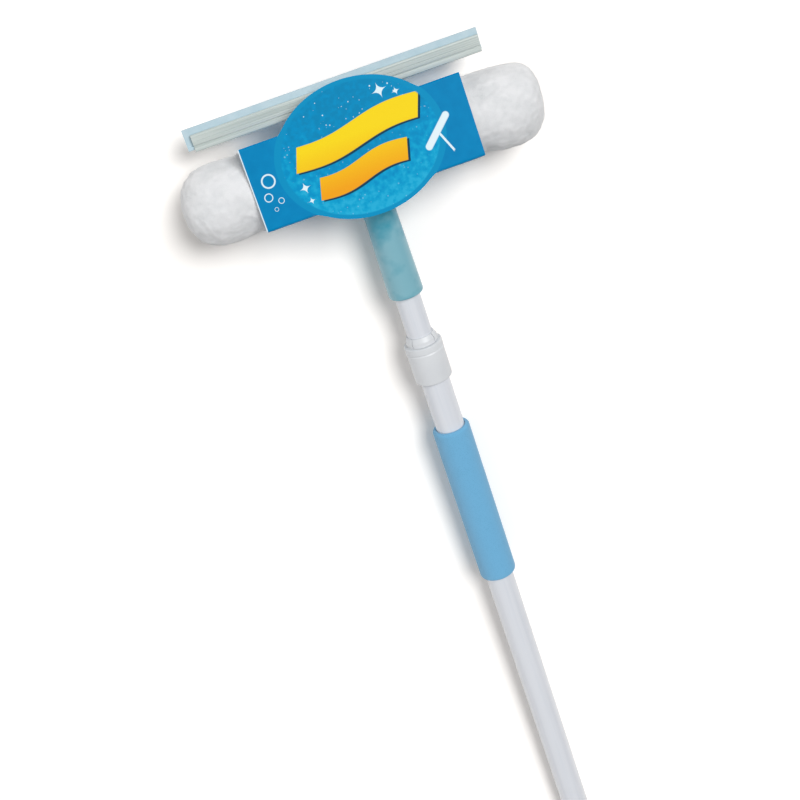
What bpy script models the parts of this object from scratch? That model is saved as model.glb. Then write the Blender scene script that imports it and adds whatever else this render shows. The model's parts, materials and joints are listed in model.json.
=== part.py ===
"""Telescopic window squeegee: a washing roll and a rubber blade on a pole with a twist lock.

The wand is built along its own axes. The roll lies along X with its centre at the origin, the pole runs
down -Y, and the printed card faces +Z. A station is a distance down the pole from the roll's centre. An empty
then lays the wand down, so that the roll's ends and the end cap rest on the ground. Lengths are in metres.
"""

import math

import bmesh
import bpy
from mathutils import Matrix, Vector

# Clearances and cutters
FIT_GAP = 0.0003
CUT_OVERRUN = 0.002
WELD_DISTANCE = 0.00001

# Facets round a turned piece, and along one rounded corner
POLE_STEPS = 48
LOCK_STEPS = 36
ROLL_STEPS = 40
CORE_STEPS = 28
SMALL_STEPS = 20
SCREW_STEPS = 12
CORNER_STEPS = 3
OVAL_STEPS = 30
WRAP_STEPS = 24

# Tubes: the outer one is sized round the inner one
INNER_TUBE_DIAMETER = 0.0190
TUBE_WALL = 0.0006
TUBE_CLEARANCE = 0.0009
TELESCOPE_TRAVEL = 0.430
TUBE_OVERLAP = 0.096
TAIL_CLEARANCE = 0.006
INNER_TUBE_SHOWN = 0.033

# Neck, from the roll's centre to its lower end
NECK_REACH = 0.110
NECK_TOP_WALL = 0.0013
NECK_END_WALL = 0.00315
NECK_END_ROUNDING = 0.001
NECK_SOCKET_STOP = 0.036
YOKE_WIDTH = 0.040
YOKE_START = 0.004
YOKE_END = 0.020
YOKE_THICKNESS = 0.016

# T bar through the roll, its plugs, and the ears and the eye that hold it
T_BAR_DIAMETER = 0.018
T_BAR_WALL = 0.0015
T_BAR_INSET = 0.0185
EAR_WALL = 0.0037
EYE_WIDTH = 0.0154
PLUG_STEM_LENGTH = 0.012
PLUG_RIM_DIAMETER = 0.024
PLUG_RIM_THICKNESS = 0.003
PLUG_RIM_ROUNDING = 0.001

# Washing roll: waist under the card, swollen ends, and the hollow for the sponge
ROLL_LENGTH = 0.261
ROLL_WAIST_DIAMETER = 0.0588
ROLL_END_SHOWN = 0.0515
ROLL_END_SWELL = 0.0016
ROLL_SWELL_SHARE = 0.72
ROLL_END_ROUNDING = 0.028
SLEEVE_THICKNESS = 0.0046
SLEEVE_END_THICKNESS = 0.0055
HOLLOW_ROUNDING = 0.024
ROLL_END_POINTS = 6
HOLLOW_END_POINTS = 4
SWELL_POINTS = 3

# Blade: channel, rubber and the clamp that holds them
BAR_STANDOFF = 0.0106
CHANNEL_LENGTH = 0.2074
CHANNEL_SHIFT = -0.0024
CHANNEL_HEIGHT = 0.012
CHANNEL_THICKNESS = 0.008
CHANNEL_ROUNDING = 0.0008
CHANNEL_FLOOR = 0.0012
RAIL_HEIGHT = 0.0048
RAIL_THICKNESS = 0.0072
RAIL_ROUNDING = 0.0012
GROOVE_HEIGHT = 0.0008
GROOVE_THICKNESS = 0.0064
RUBBER_THICKNESS = 0.0021
RUBBER_BULB_THICKNESS = 0.0042
RUBBER_BULB_HEIGHT = 0.0026
RUBBER_BULB_ROUNDING = 0.0006
LIP_REACH = 0.0045
LIP_TAPER_LENGTH = 0.0035
LIP_EDGE_THICKNESS = 0.0016
RUBBER_LEFT_OVERHANG = 0.0045
RUBBER_RIGHT_OVERHANG = 0.0006
CLAMP_WIDTH = 0.060
CLAMP_CLEARANCE = 0.0011
CLAMP_FOOT_THICKNESS = 0.0025
JAW_THICKNESS = 0.0025
JAW_REACH = 0.006
STEM_THICKNESS = 0.008
STEM_SINK = 0.001
CLAMP_SCREW_SPACING = 0.040

# Screws
SCREW_DIAMETER = 0.0032
SCREW_HEAD_DIAMETER = 0.0064
SCREW_HEAD_HEIGHT = 0.0018
SCREW_CROWN_DIAMETER = 0.0044
SCREW_CROWN_DROP = 0.0008
SCREW_TIP = 0.001
SCREW_SLOT_WIDTH = 0.0008
SCREW_SLOT_DEPTH = 0.0007
SHORT_SHANK = 0.007
CLAMP_SHANK = 0.0105
EAR_SCREW_SPACING = 0.028
NECK_SCREW_STATION = 0.075

# Card: a flat printed face with an oval, folded and wrapped round the roll
CARD_THICKNESS = 0.0005
CARD_TILT = math.radians(12)
CARD_FACE_HEIGHT = 0.058
CARD_FACE_RISE = 0.002
OVAL_INSET = 0.0205
OVAL_HEIGHT = 0.0936
OVAL_RISE = 0.0058
OVAL_FILLET = 0.006
CARD_HOLE_MARGIN = 0.0015
CARD_SLOT_FRONT = 0.012

# Twist lock: collet, ferrule and lock collar
COLLET_HEAD_HEIGHT = 0.0067
COLLET_HEAD_STEP = 0.0011
COLLET_HEAD_ROUNDING = 0.0007
COLLET_FINGER_LENGTH = 0.0133
COLLET_BASE_HEIGHT = 0.003
COLLET_SLOT_WIDTH = 0.0008
FERRULE_WALL = 0.0011
FERRULE_LEAD = 0.006
FERRULE_END_INSET = 0.0005
SNAP_RIDGE_HEIGHT = 0.0006
SNAP_RIDGE_WIDTH = 0.002
SNAP_RIDGE_OFFSET = 0.011
LOCK_COLLAR_LENGTH = 0.031
LOCK_WALL = 0.0008
LOCK_RIM_STEP = 0.0004
LOCK_RIM_HEIGHT = 0.007
LOCK_ROUNDING = 0.001

# Foam grip
GRIP_OFFSET = 0.043
GRIP_LENGTH = 0.139
GRIP_THICKNESS = 0.00335
GRIP_ROUNDING = 0.0025

# Tail: plug and bush inside, cap outside
TAIL_PLUG_DEPTH = 0.018
TAIL_PLUG_FLANGE = 0.003
JOURNAL_DIAMETER = 0.011
JOURNAL_HEAD_STEP = 0.002
JOURNAL_HEAD_HEIGHT = 0.002
BUSH_LENGTH = 0.014
BUSH_ROUNDING = 0.001
CAP_SOCKET_DEPTH = 0.018
CAP_WALL = 0.0013
CAP_WEB = 0.006
CAP_ROUNDING = 0.001
TONGUE_LENGTH = 0.020
TONGUE_SINK = 0.003
TONGUE_WIDTH = 0.022
TONGUE_TIP_ROUNDING = 0.0105
TONGUE_THICKNESS = 0.010
TONGUE_BEVEL = 0.0008
HANG_HOLE_DIAMETER = 0.008

# Radii and stations that follow from the sizes above
INNER_TUBE_RADIUS = INNER_TUBE_DIAMETER / 2
INNER_BORE_RADIUS = INNER_TUBE_RADIUS - TUBE_WALL
OUTER_BORE_RADIUS = INNER_TUBE_RADIUS + TUBE_CLEARANCE
OUTER_TUBE_RADIUS = OUTER_BORE_RADIUS + TUBE_WALL
NECK_BORE_RADIUS = INNER_TUBE_RADIUS + FIT_GAP
NECK_TOP_RADIUS = NECK_BORE_RADIUS + NECK_TOP_WALL
NECK_END_RADIUS = NECK_BORE_RADIUS + NECK_END_WALL
T_BAR_RADIUS = T_BAR_DIAMETER / 2
T_BAR_HALF_LENGTH = ROLL_LENGTH / 2 - T_BAR_INSET
EAR_BORE_RADIUS = T_BAR_RADIUS + FIT_GAP
EAR_RADIUS = EAR_BORE_RADIUS + EAR_WALL
ROLL_WAIST_RADIUS = ROLL_WAIST_DIAMETER / 2
ROLL_END_RADIUS = ROLL_WAIST_RADIUS + ROLL_END_SWELL
HOLLOW_RADIUS = ROLL_WAIST_RADIUS - SLEEVE_THICKNESS
HOLLOW_HALF_LENGTH = ROLL_LENGTH / 2 - SLEEVE_END_THICKNESS
CHANNEL_BOTTOM = ROLL_WAIST_RADIUS + BAR_STANDOFF
CHANNEL_TOP = CHANNEL_BOTTOM + CHANNEL_HEIGHT
CLAMP_BOTTOM = ROLL_WAIST_RADIUS + CLAMP_CLEARANCE
CLAMP_SLOT_HALF = CHANNEL_THICKNESS / 2 + FIT_GAP
CLAMP_HALF_THICKNESS = CLAMP_SLOT_HALF + JAW_THICKNESS
CLAMP_FLOOR = CLAMP_BOTTOM + CLAMP_FOOT_THICKNESS
CLAMP_SLOT_BOTTOM = CHANNEL_BOTTOM - FIT_GAP
CARD_RADIUS = ROLL_WAIST_RADIUS + FIT_GAP
CARD_LENGTH = ROLL_LENGTH - 2 * ROLL_END_SHOWN
OVAL_LENGTH = CARD_LENGTH - 2 * OVAL_INSET
COLLET_TOP = NECK_REACH + INNER_TUBE_SHOWN
COLLET_HEAD_END = COLLET_TOP + COLLET_HEAD_HEIGHT
COLLET_END = COLLET_HEAD_END + COLLET_FINGER_LENGTH
COLLET_HEAD_RADIUS = OUTER_TUBE_RADIUS + COLLET_HEAD_STEP
SLEEVED_TUBE_RADIUS = OUTER_TUBE_RADIUS + FIT_GAP
OUTER_TUBE_TOP = COLLET_END + FIT_GAP
LOCK_TOP = COLLET_HEAD_END + FIT_GAP
LOCK_END = LOCK_TOP + LOCK_COLLAR_LENGTH
FERRULE_TOP = OUTER_TUBE_TOP - FERRULE_LEAD
FERRULE_END = LOCK_END - FERRULE_END_INSET
FERRULE_RADIUS = SLEEVED_TUBE_RADIUS + FERRULE_WALL
SNAP_RIDGE_RADIUS = FERRULE_RADIUS + SNAP_RIDGE_HEIGHT
SNAP_RIDGE_TOP = FERRULE_TOP + SNAP_RIDGE_OFFSET
SNAP_RIDGE_END = SNAP_RIDGE_TOP + SNAP_RIDGE_WIDTH
LOCK_BODY_RADIUS = SNAP_RIDGE_RADIUS + FIT_GAP + LOCK_WALL
LOCK_RIM_RADIUS = LOCK_BODY_RADIUS + LOCK_RIM_STEP
GRIP_TOP = LOCK_END + GRIP_OFFSET
INNER_TUBE_TOP = NECK_SOCKET_STOP + FIT_GAP
INNER_TUBE_TAIL = OUTER_TUBE_TOP + TELESCOPE_TRAVEL + TUBE_OVERLAP
FLANGE_TOP = INNER_TUBE_TAIL + FIT_GAP
JOURNAL_TOP = FLANGE_TOP + TAIL_PLUG_FLANGE
BUSH_TOP = JOURNAL_TOP + FIT_GAP
JOURNAL_END = BUSH_TOP + BUSH_LENGTH + FIT_GAP
TAIL_PLUG_END = JOURNAL_END + JOURNAL_HEAD_HEIGHT
OUTER_TUBE_END = TAIL_PLUG_END + TAIL_CLEARANCE
CAP_SOCKET_END = OUTER_TUBE_END + FIT_GAP
CAP_TOP = CAP_SOCKET_END - CAP_SOCKET_DEPTH
CAP_END = CAP_SOCKET_END + CAP_WEB
CAP_RADIUS = SLEEVED_TUBE_RADIUS + CAP_WALL
TONGUE_END = CAP_END + TONGUE_LENGTH
HANG_HOLE_STATION = TONGUE_END - TONGUE_WIDTH / 2

# Turns that point a shape's own Z up the pole, along the roll to either side, to the front or to the back
UP_THE_POLE = (-math.pi / 2, 0, 0)
ALONG_ROLL = (0, math.pi / 2, 0)
ALONG_ROLL_LEFT = (0, -math.pi / 2, 0)
TO_FRONT = (0, 0, 0)
TO_BACK = (math.pi, 0, 0)
# Turn that lays an outline drawn in (Y, Z) of the wand along the roll
SECTION = (math.pi / 2, 0, math.pi / 2)


def linear(hex_colour):
    """The linear RGBA of an sRGB colour written as six hex digits."""
    channels = [int(hex_colour[i:i + 2], 16) / 255 for i in (0, 2, 4)]
    return [c / 12.92 if c <= 0.04045 else ((c + 0.055) / 1.055) ** 2.4 for c in channels] + [1]


class Finish:
    """A surface: its colour, roughness and metallic value."""

    def __init__(self, colour, roughness, metallic=0):
        self.colour = linear(colour)
        self.roughness = roughness
        self.metallic = metallic

    def material(self, name):
        """A Principled material of this finish."""
        made = bpy.data.materials.new(name)
        made.use_nodes = True
        made.diffuse_color = self.colour
        shader = made.node_tree.nodes["Principled BSDF"]
        shader.inputs["Base Color"].default_value = self.colour
        shader.inputs["Roughness"].default_value = self.roughness
        shader.inputs["Metallic"].default_value = self.metallic
        return made


WHITE_ENAMEL = Finish("E4E7EA", 0.35)
WHITE_PLASTIC = Finish("E2E5E8", 0.4)
TEAL_PLASTIC = Finish("4FA3B5", 0.35)
BLUE_FOAM = Finish("6CADD0", 0.9)
WHITE_PLUSH = Finish("E3E4E6", 1.0)
YELLOW_SPONGE = Finish("E9DDB0", 1.0)
PALE_PLASTIC = Finish("C9D2D0", 0.35)
BLUE_RUBBER = Finish("B8D4E8", 0.6)
BLUE_CARD = Finish("0A8AC6", 0.45)
GREY_PLASTIC = Finish("9AA3A8", 0.5)
STEEL = Finish("B4B6B8", 0.3, 1)


class Bench:
    """The two collections, and the empty that carries every piece and cutter of the wand."""

    def __init__(self, name):
        self.parts = self.collection(name)
        self.cutters = self.collection(name + "_cutters")
        self.wand = bpy.data.objects.new("wand_lay", None)
        self.parts.objects.link(self.wand)

    @staticmethod
    def collection(name):
        """A new collection in the scene."""
        made = bpy.data.collections.new(name)
        bpy.context.scene.collection.children.link(made)
        return made

    def piece(self, name, mesh, finish, place=(0, 0, 0), turn=TO_FRONT):
        """A sub-part of the wand, with its own material."""
        obj = bpy.data.objects.new(name, mesh)
        obj.data.materials.append(finish.material(name + "_finish"))
        self.put(obj, self.parts, place, turn)
        return obj

    def cutter(self, name, mesh, place=(0, 0, 0), turn=TO_FRONT):
        """A shape that only cuts or joins, drawn as wire."""
        obj = bpy.data.objects.new(name, mesh)
        self.put(obj, self.cutters, place, turn)
        obj.hide_render = True
        obj.display_type = "WIRE"
        return obj

    def put(self, obj, collection, place, turn):
        """Links an object into a collection and places it on the wand."""
        collection.objects.link(obj)
        obj.parent = self.wand
        obj.location = place
        obj.rotation_euler = turn


def rounded(corners, closed=False):
    """The points of an outline. A corner is (a, b) or (a, b, radius), and a radius rounds it with an arc."""
    outline = []
    for index, corner in enumerate(corners):
        here = Vector(corner[:2])
        if len(corner) == 2 or (not closed and index in (0, len(corners) - 1)):
            outline.append(here)
            continue
        back = (Vector(corners[index - 1][:2]) - here).normalized()
        ahead = (Vector(corners[(index + 1) % len(corners)][:2]) - here).normalized()
        half = back.angle(ahead) / 2
        centre = here + (back + ahead).normalized() * corner[2] / math.sin(half)
        reach = corner[2] / math.tan(half)
        start = here + back * reach - centre
        end = here + ahead * reach - centre
        sweep = math.atan2(start.x * end.y - start.y * end.x, start.dot(end))
        for step in range(CORNER_STEPS + 1):
            arm = Matrix.Rotation(sweep * step / CORNER_STEPS, 2) @ start
            outline.append(centre + arm)
    return outline


def outline_mesh(name, outline, closed):
    """A mesh of the outline's edges in the local XZ plane, each point being (radius, height)."""
    shape = bmesh.new()
    points = [shape.verts.new((radius, 0, height)) for radius, height in outline]
    pairs = list(zip(points, points[1:]))
    if closed:
        pairs.append((points[-1], points[0]))
    for pair in pairs:
        shape.edges.new(pair)
    mesh = bpy.data.meshes.new(name)
    shape.to_mesh(mesh)
    shape.free()
    return mesh


def spin(obj, steps):
    """Turns an object's outline round its own Z."""
    screw = obj.modifiers.new("Turn", "SCREW")
    screw.steps = steps
    screw.render_steps = steps
    screw.use_merge_vertices = True
    screw.merge_threshold = WELD_DISTANCE


def down_the_pole(corners, origin):
    """Corners (radius, station, ...) as (radius, height, ...) over a station of the pole."""
    return [(corner[0], origin - corner[1], *corner[2:]) for corner in corners]


def turned_on_pole(bench, name, finish, corners, steps=POLE_STEPS, closed=True):
    """A piece turned about the pole. Its corners run down its outer side, and its origin is at its top."""
    origin = min(corner[1] for corner in corners)
    outline = rounded(down_the_pole(corners, origin), closed)
    mesh = outline_mesh(name, outline, closed)
    obj = bench.piece(name, mesh, finish, (0, -origin, 0), UP_THE_POLE)
    spin(obj, steps)
    return obj


def turned_on_roll(bench, name, finish, corners, steps, closed=True, turn=ALONG_ROLL):
    """A piece turned about the roll. Its corners (radius, distance from centre) start at its outer end."""
    mesh = outline_mesh(name, rounded(corners, closed), closed)
    obj = bench.piece(name, mesh, finish, turn=turn)
    spin(obj, steps)
    return obj


def extruded_mesh(bench, name, loops, depth):
    """A plate of the given depth between its loops, with its middle in the local XY plane."""
    curve = bpy.data.curves.new(name, "CURVE")
    curve.dimensions = "2D"
    curve.fill_mode = "BOTH"
    curve.extrude = depth / 2
    for loop in loops:
        spline = curve.splines.new("POLY")
        spline.points.add(len(loop) - 1)
        for point, (a, b) in zip(spline.points, loop):
            point.co = (a, b, 0, 1)
        spline.use_cyclic_u = True
    drawn = bpy.data.objects.new(name, curve)
    bench.cutters.objects.link(drawn)
    graph = bpy.context.evaluated_depsgraph_get()
    mesh = bpy.data.meshes.new_from_object(drawn.evaluated_get(graph))
    bpy.data.objects.remove(drawn)
    bpy.data.curves.remove(curve)
    shape = bmesh.new()
    shape.from_mesh(mesh)
    bmesh.ops.remove_doubles(shape, verts=shape.verts, dist=WELD_DISTANCE)
    bmesh.ops.recalc_face_normals(shape, faces=shape.faces)
    shape.to_mesh(mesh)
    shape.free()
    mesh.name = name
    return mesh


def cylinder_mesh(name, radius, length, steps):
    """A closed cylinder about the local Z, centred."""
    shape = bmesh.new()
    bmesh.ops.create_cone(
        shape, cap_ends=True, segments=steps, radius1=radius, radius2=radius, depth=length
    )
    mesh = bpy.data.meshes.new(name)
    shape.to_mesh(mesh)
    shape.free()
    return mesh


def box_mesh(name, size):
    """A closed box, centred."""
    shape = bmesh.new()
    bmesh.ops.create_cube(shape, size=1, matrix=Matrix.Diagonal((*size, 1)))
    mesh = bpy.data.meshes.new(name)
    shape.to_mesh(mesh)
    shape.free()
    return mesh


def boolean(target, tool, operation):
    """Cuts a piece with a tool, or joins the tool to it."""
    modifier = target.modifiers.new(tool.name, "BOOLEAN")
    modifier.solver = "EXACT"
    modifier.operation = operation
    modifier.object = tool


def neck_radius(station):
    """The tapered neck's radius at a station."""
    taper = (NECK_END_RADIUS - NECK_TOP_RADIUS) / NECK_REACH
    return NECK_TOP_RADIUS + taper * station


def pillow_end(radius, half_length, rounding, steps):
    """Points from the tip of a rounded roll end, on the axis, to where its side begins."""
    points = []
    for step in range(steps + 1):
        turn = math.pi / 2 * (1 - step / steps)
        points.append((radius * math.cos(turn), half_length - rounding * (1 - math.sin(turn))))
    points[0] = (0, half_length)
    return points


def mirrored(points):
    """The points, and then their mirror images, back in order to the other end."""
    return points + [(radius, -along) for radius, along in reversed(points)]


def add_tubes(bench):
    """The two telescoping tubes."""
    inner = turned_on_pole(bench, "inner_tube", WHITE_ENAMEL, [
        (INNER_TUBE_RADIUS, INNER_TUBE_TOP),
        (INNER_TUBE_RADIUS, INNER_TUBE_TAIL),
        (INNER_BORE_RADIUS, INNER_TUBE_TAIL),
        (INNER_BORE_RADIUS, INNER_TUBE_TOP),
    ])
    turned_on_pole(bench, "outer_tube", WHITE_ENAMEL, [
        (OUTER_TUBE_RADIUS, OUTER_TUBE_TOP),
        (OUTER_TUBE_RADIUS, OUTER_TUBE_END),
        (OUTER_BORE_RADIUS, OUTER_TUBE_END),
        (OUTER_BORE_RADIUS, OUTER_TUBE_TOP),
    ])
    return inner


def add_tail(bench):
    """The plug in the inner tube's tail, and the bush that slides in the outer tube and turns on the plug."""
    plug_radius = INNER_BORE_RADIUS - FIT_GAP
    journal_radius = JOURNAL_DIAMETER / 2
    head_radius = journal_radius + JOURNAL_HEAD_STEP
    turned_on_pole(bench, "tube_plug", GREY_PLASTIC, [
        (0, INNER_TUBE_TAIL - TAIL_PLUG_DEPTH),
        (plug_radius, INNER_TUBE_TAIL - TAIL_PLUG_DEPTH),
        (plug_radius, FLANGE_TOP),
        (INNER_TUBE_RADIUS, FLANGE_TOP),
        (INNER_TUBE_RADIUS, JOURNAL_TOP),
        (journal_radius, JOURNAL_TOP),
        (journal_radius, JOURNAL_END),
        (head_radius, JOURNAL_END),
        (head_radius, TAIL_PLUG_END),
        (0, TAIL_PLUG_END),
    ], SMALL_STEPS, closed=False)
    bush_radius = OUTER_BORE_RADIUS - FIT_GAP
    bush_bore = journal_radius + FIT_GAP
    turned_on_pole(bench, "guide_bush", GREY_PLASTIC, [
        (bush_radius, BUSH_TOP, BUSH_ROUNDING),
        (bush_radius, BUSH_TOP + BUSH_LENGTH, BUSH_ROUNDING),
        (bush_bore, BUSH_TOP + BUSH_LENGTH),
        (bush_bore, BUSH_TOP),
    ], SMALL_STEPS)


def add_grip(bench):
    """The foam sleeve on the outer tube."""
    radius = SLEEVED_TUBE_RADIUS + GRIP_THICKNESS
    turned_on_pole(bench, "foam_grip", BLUE_FOAM, [
        (radius, GRIP_TOP, GRIP_ROUNDING),
        (radius, GRIP_TOP + GRIP_LENGTH, GRIP_ROUNDING),
        (SLEEVED_TUBE_RADIUS, GRIP_TOP + GRIP_LENGTH),
        (SLEEVED_TUBE_RADIUS, GRIP_TOP),
    ])


def add_end_cap(bench):
    """The cap on the pole's tail: a socket for the tube and a flat tongue with a hanging hole."""
    cap = turned_on_pole(bench, "end_cap", WHITE_PLASTIC, [
        (0, CAP_SOCKET_END),
        (SLEEVED_TUBE_RADIUS, CAP_SOCKET_END),
        (SLEEVED_TUBE_RADIUS, CAP_TOP),
        (CAP_RADIUS, CAP_TOP, CAP_WALL / 2),
        (CAP_RADIUS, CAP_END, CAP_ROUNDING),
        (0, CAP_END),
    ], LOCK_STEPS, closed=False)
    half_width = TONGUE_WIDTH / 2
    tongue_top = CAP_END - TONGUE_SINK
    loop = rounded([
        (-half_width, -tongue_top),
        (-half_width, -TONGUE_END, TONGUE_TIP_ROUNDING),
        (half_width, -TONGUE_END, TONGUE_TIP_ROUNDING),
        (half_width, -tongue_top),
    ], closed=True)
    tongue = bench.cutter("end_cap_tongue", extruded_mesh(bench, "end_cap_tongue", [loop], TONGUE_THICKNESS))
    bevel = tongue.modifiers.new("Rounded edges", "BEVEL")
    bevel.width = TONGUE_BEVEL
    bevel.segments = 2
    bevel.limit_method = "ANGLE"
    boolean(cap, tongue, "UNION")
    hole = cylinder_mesh("hang_hole", HANG_HOLE_DIAMETER / 2, TONGUE_THICKNESS + CUT_OVERRUN, SMALL_STEPS)
    boolean(cap, bench.cutter("hang_hole", hole, (0, -HANG_HOLE_STATION, 0)), "DIFFERENCE")


def add_collet(bench):
    """The split ring that grips the inner tube. Its slots are open at the top, so its fingers can bend."""
    bore = INNER_TUBE_RADIUS + FIT_GAP
    collet = turned_on_pole(bench, "collet", WHITE_PLASTIC, [
        (COLLET_HEAD_RADIUS, COLLET_TOP, COLLET_HEAD_ROUNDING),
        (COLLET_HEAD_RADIUS, COLLET_HEAD_END),
        (OUTER_TUBE_RADIUS, COLLET_HEAD_END),
        (OUTER_TUBE_RADIUS, COLLET_END),
        (bore, COLLET_END),
        (bore, COLLET_TOP),
    ], LOCK_STEPS)
    slot_end = COLLET_END - COLLET_BASE_HEIGHT
    slot_top = COLLET_TOP - CUT_OVERRUN
    across = 2 * (COLLET_HEAD_RADIUS + CUT_OVERRUN)
    size = (COLLET_SLOT_WIDTH, slot_end - slot_top, across)
    for name, turn in (("collet_slot_a", math.pi / 4), ("collet_slot_b", -math.pi / 4)):
        place = (0, -(slot_end + slot_top) / 2, 0)
        boolean(collet, bench.cutter(name, box_mesh(name, size), place, (0, turn, 0)), "DIFFERENCE")


def add_ferrule(bench):
    """The sleeve on the outer tube's end, with the ridge that the lock collar snaps over."""
    turned_on_pole(bench, "collar_ferrule", WHITE_PLASTIC, [
        (FERRULE_RADIUS, FERRULE_TOP),
        (FERRULE_RADIUS, SNAP_RIDGE_TOP),
        (SNAP_RIDGE_RADIUS, SNAP_RIDGE_TOP),
        (SNAP_RIDGE_RADIUS, SNAP_RIDGE_END),
        (FERRULE_RADIUS, SNAP_RIDGE_END),
        (FERRULE_RADIUS, FERRULE_END),
        (SLEEVED_TUBE_RADIUS, FERRULE_END),
        (SLEEVED_TUBE_RADIUS, FERRULE_TOP),
    ], LOCK_STEPS)


def add_lock_collar(bench):
    """The twist ring: a narrow bore round the collet's fingers, then a wide one with the ridge's groove."""
    upper_bore = SLEEVED_TUBE_RADIUS
    lower_bore = FERRULE_RADIUS + FIT_GAP
    groove = SNAP_RIDGE_RADIUS + FIT_GAP
    rim_end = LOCK_TOP + LOCK_RIM_HEIGHT
    turned_on_pole(bench, "lock_collar", WHITE_PLASTIC, [
        (LOCK_RIM_RADIUS, LOCK_TOP, LOCK_ROUNDING),
        (LOCK_RIM_RADIUS, rim_end),
        (LOCK_BODY_RADIUS, rim_end + LOCK_RIM_STEP),
        (LOCK_BODY_RADIUS, LOCK_END, LOCK_ROUNDING),
        (lower_bore, LOCK_END),
        (lower_bore, SNAP_RIDGE_END + FIT_GAP),
        (groove, SNAP_RIDGE_END + FIT_GAP),
        (groove, SNAP_RIDGE_TOP - FIT_GAP),
        (lower_bore, SNAP_RIDGE_TOP - FIT_GAP),
        (lower_bore, FERRULE_TOP - FIT_GAP),
        (upper_bore, FERRULE_TOP - FIT_GAP),
        (upper_bore, LOCK_TOP),
    ], LOCK_STEPS)


def add_neck(bench):
    """The tapered neck: a socket for the inner tube, and a yoke of two ears for the T bar."""
    neck = turned_on_pole(bench, "neck_socket", TEAL_PLASTIC, [
        (0, 0),
        (NECK_TOP_RADIUS, 0),
        (NECK_END_RADIUS, NECK_REACH, NECK_END_ROUNDING),
        (NECK_BORE_RADIUS, NECK_REACH),
        (NECK_BORE_RADIUS, NECK_SOCKET_STOP),
        (0, NECK_SOCKET_STOP),
    ], closed=False)
    ears = cylinder_mesh("neck_ears", EAR_RADIUS, YOKE_WIDTH, CORE_STEPS)
    boolean(neck, bench.cutter("neck_ears", ears, turn=ALONG_ROLL), "UNION")
    bridge = box_mesh("neck_bridge", (YOKE_WIDTH - FIT_GAP, YOKE_END - YOKE_START, YOKE_THICKNESS))
    bridge_place = (0, -(YOKE_END + YOKE_START) / 2, 0)
    boolean(neck, bench.cutter("neck_bridge", bridge, bridge_place), "UNION")
    eye_room = cylinder_mesh("eye_room", EAR_RADIUS + FIT_GAP, EYE_WIDTH + FIT_GAP + FIT_GAP, CORE_STEPS)
    boolean(neck, bench.cutter("eye_room", eye_room, turn=ALONG_ROLL), "DIFFERENCE")
    bore = cylinder_mesh("ear_bore", EAR_BORE_RADIUS, YOKE_WIDTH + CUT_OVERRUN, CORE_STEPS)
    boolean(neck, bench.cutter("ear_bore", bore, turn=ALONG_ROLL), "DIFFERENCE")
    return neck


def add_t_bar(bench):
    """The cross tube in the roll, and the plug in each of its ends."""
    bore_radius = T_BAR_RADIUS - T_BAR_WALL
    bar = turned_on_roll(bench, "t_bar", GREY_PLASTIC, [
        (T_BAR_RADIUS, T_BAR_HALF_LENGTH),
        (T_BAR_RADIUS, -T_BAR_HALF_LENGTH),
        (bore_radius, -T_BAR_HALF_LENGTH),
        (bore_radius, T_BAR_HALF_LENGTH),
    ], CORE_STEPS)
    stem_radius = bore_radius - FIT_GAP
    rim_radius = PLUG_RIM_DIAMETER / 2
    rim_inner = T_BAR_HALF_LENGTH + FIT_GAP
    rim_outer = rim_inner + PLUG_RIM_THICKNESS
    corners = [
        (0, rim_outer),
        (rim_radius, rim_outer, PLUG_RIM_ROUNDING),
        (rim_radius, rim_inner),
        (stem_radius, rim_inner),
        (stem_radius, rim_inner - PLUG_STEM_LENGTH),
        (0, rim_inner - PLUG_STEM_LENGTH),
    ]
    for name, turn in (("t_bar_plug_right", ALONG_ROLL), ("t_bar_plug_left", ALONG_ROLL_LEFT)):
        turned_on_roll(bench, name, GREY_PLASTIC, corners, SMALL_STEPS, closed=False, turn=turn)
    return bar


def add_sponge_cores(bench):
    """The sponge tube on each side of the yoke, which follows the hollow's end as far as the T bar goes."""
    radius = HOLLOW_RADIUS - FIT_GAP
    outer_end = T_BAR_HALF_LENGTH
    inner_end = YOKE_WIDTH / 2 + FIT_GAP
    hollow_end = pillow_end(radius, HOLLOW_HALF_LENGTH - FIT_GAP, HOLLOW_ROUNDING, HOLLOW_END_POINTS)
    beyond = [point for point in hollow_end if point[1] > outer_end][-1]
    within = [point for point in hollow_end if point[1] < outer_end]
    share = (outer_end - within[0][1]) / (beyond[1] - within[0][1])
    rim_radius = within[0][0] + (beyond[0] - within[0][0]) * share
    corners = [(EAR_BORE_RADIUS, outer_end), (rim_radius, outer_end)] + within
    corners += [(radius, inner_end), (EAR_BORE_RADIUS, inner_end)]
    for name, turn in (("sponge_core_right", ALONG_ROLL), ("sponge_core_left", ALONG_ROLL_LEFT)):
        turned_on_roll(bench, name, YELLOW_SPONGE, corners, CORE_STEPS, turn=turn)


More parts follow.
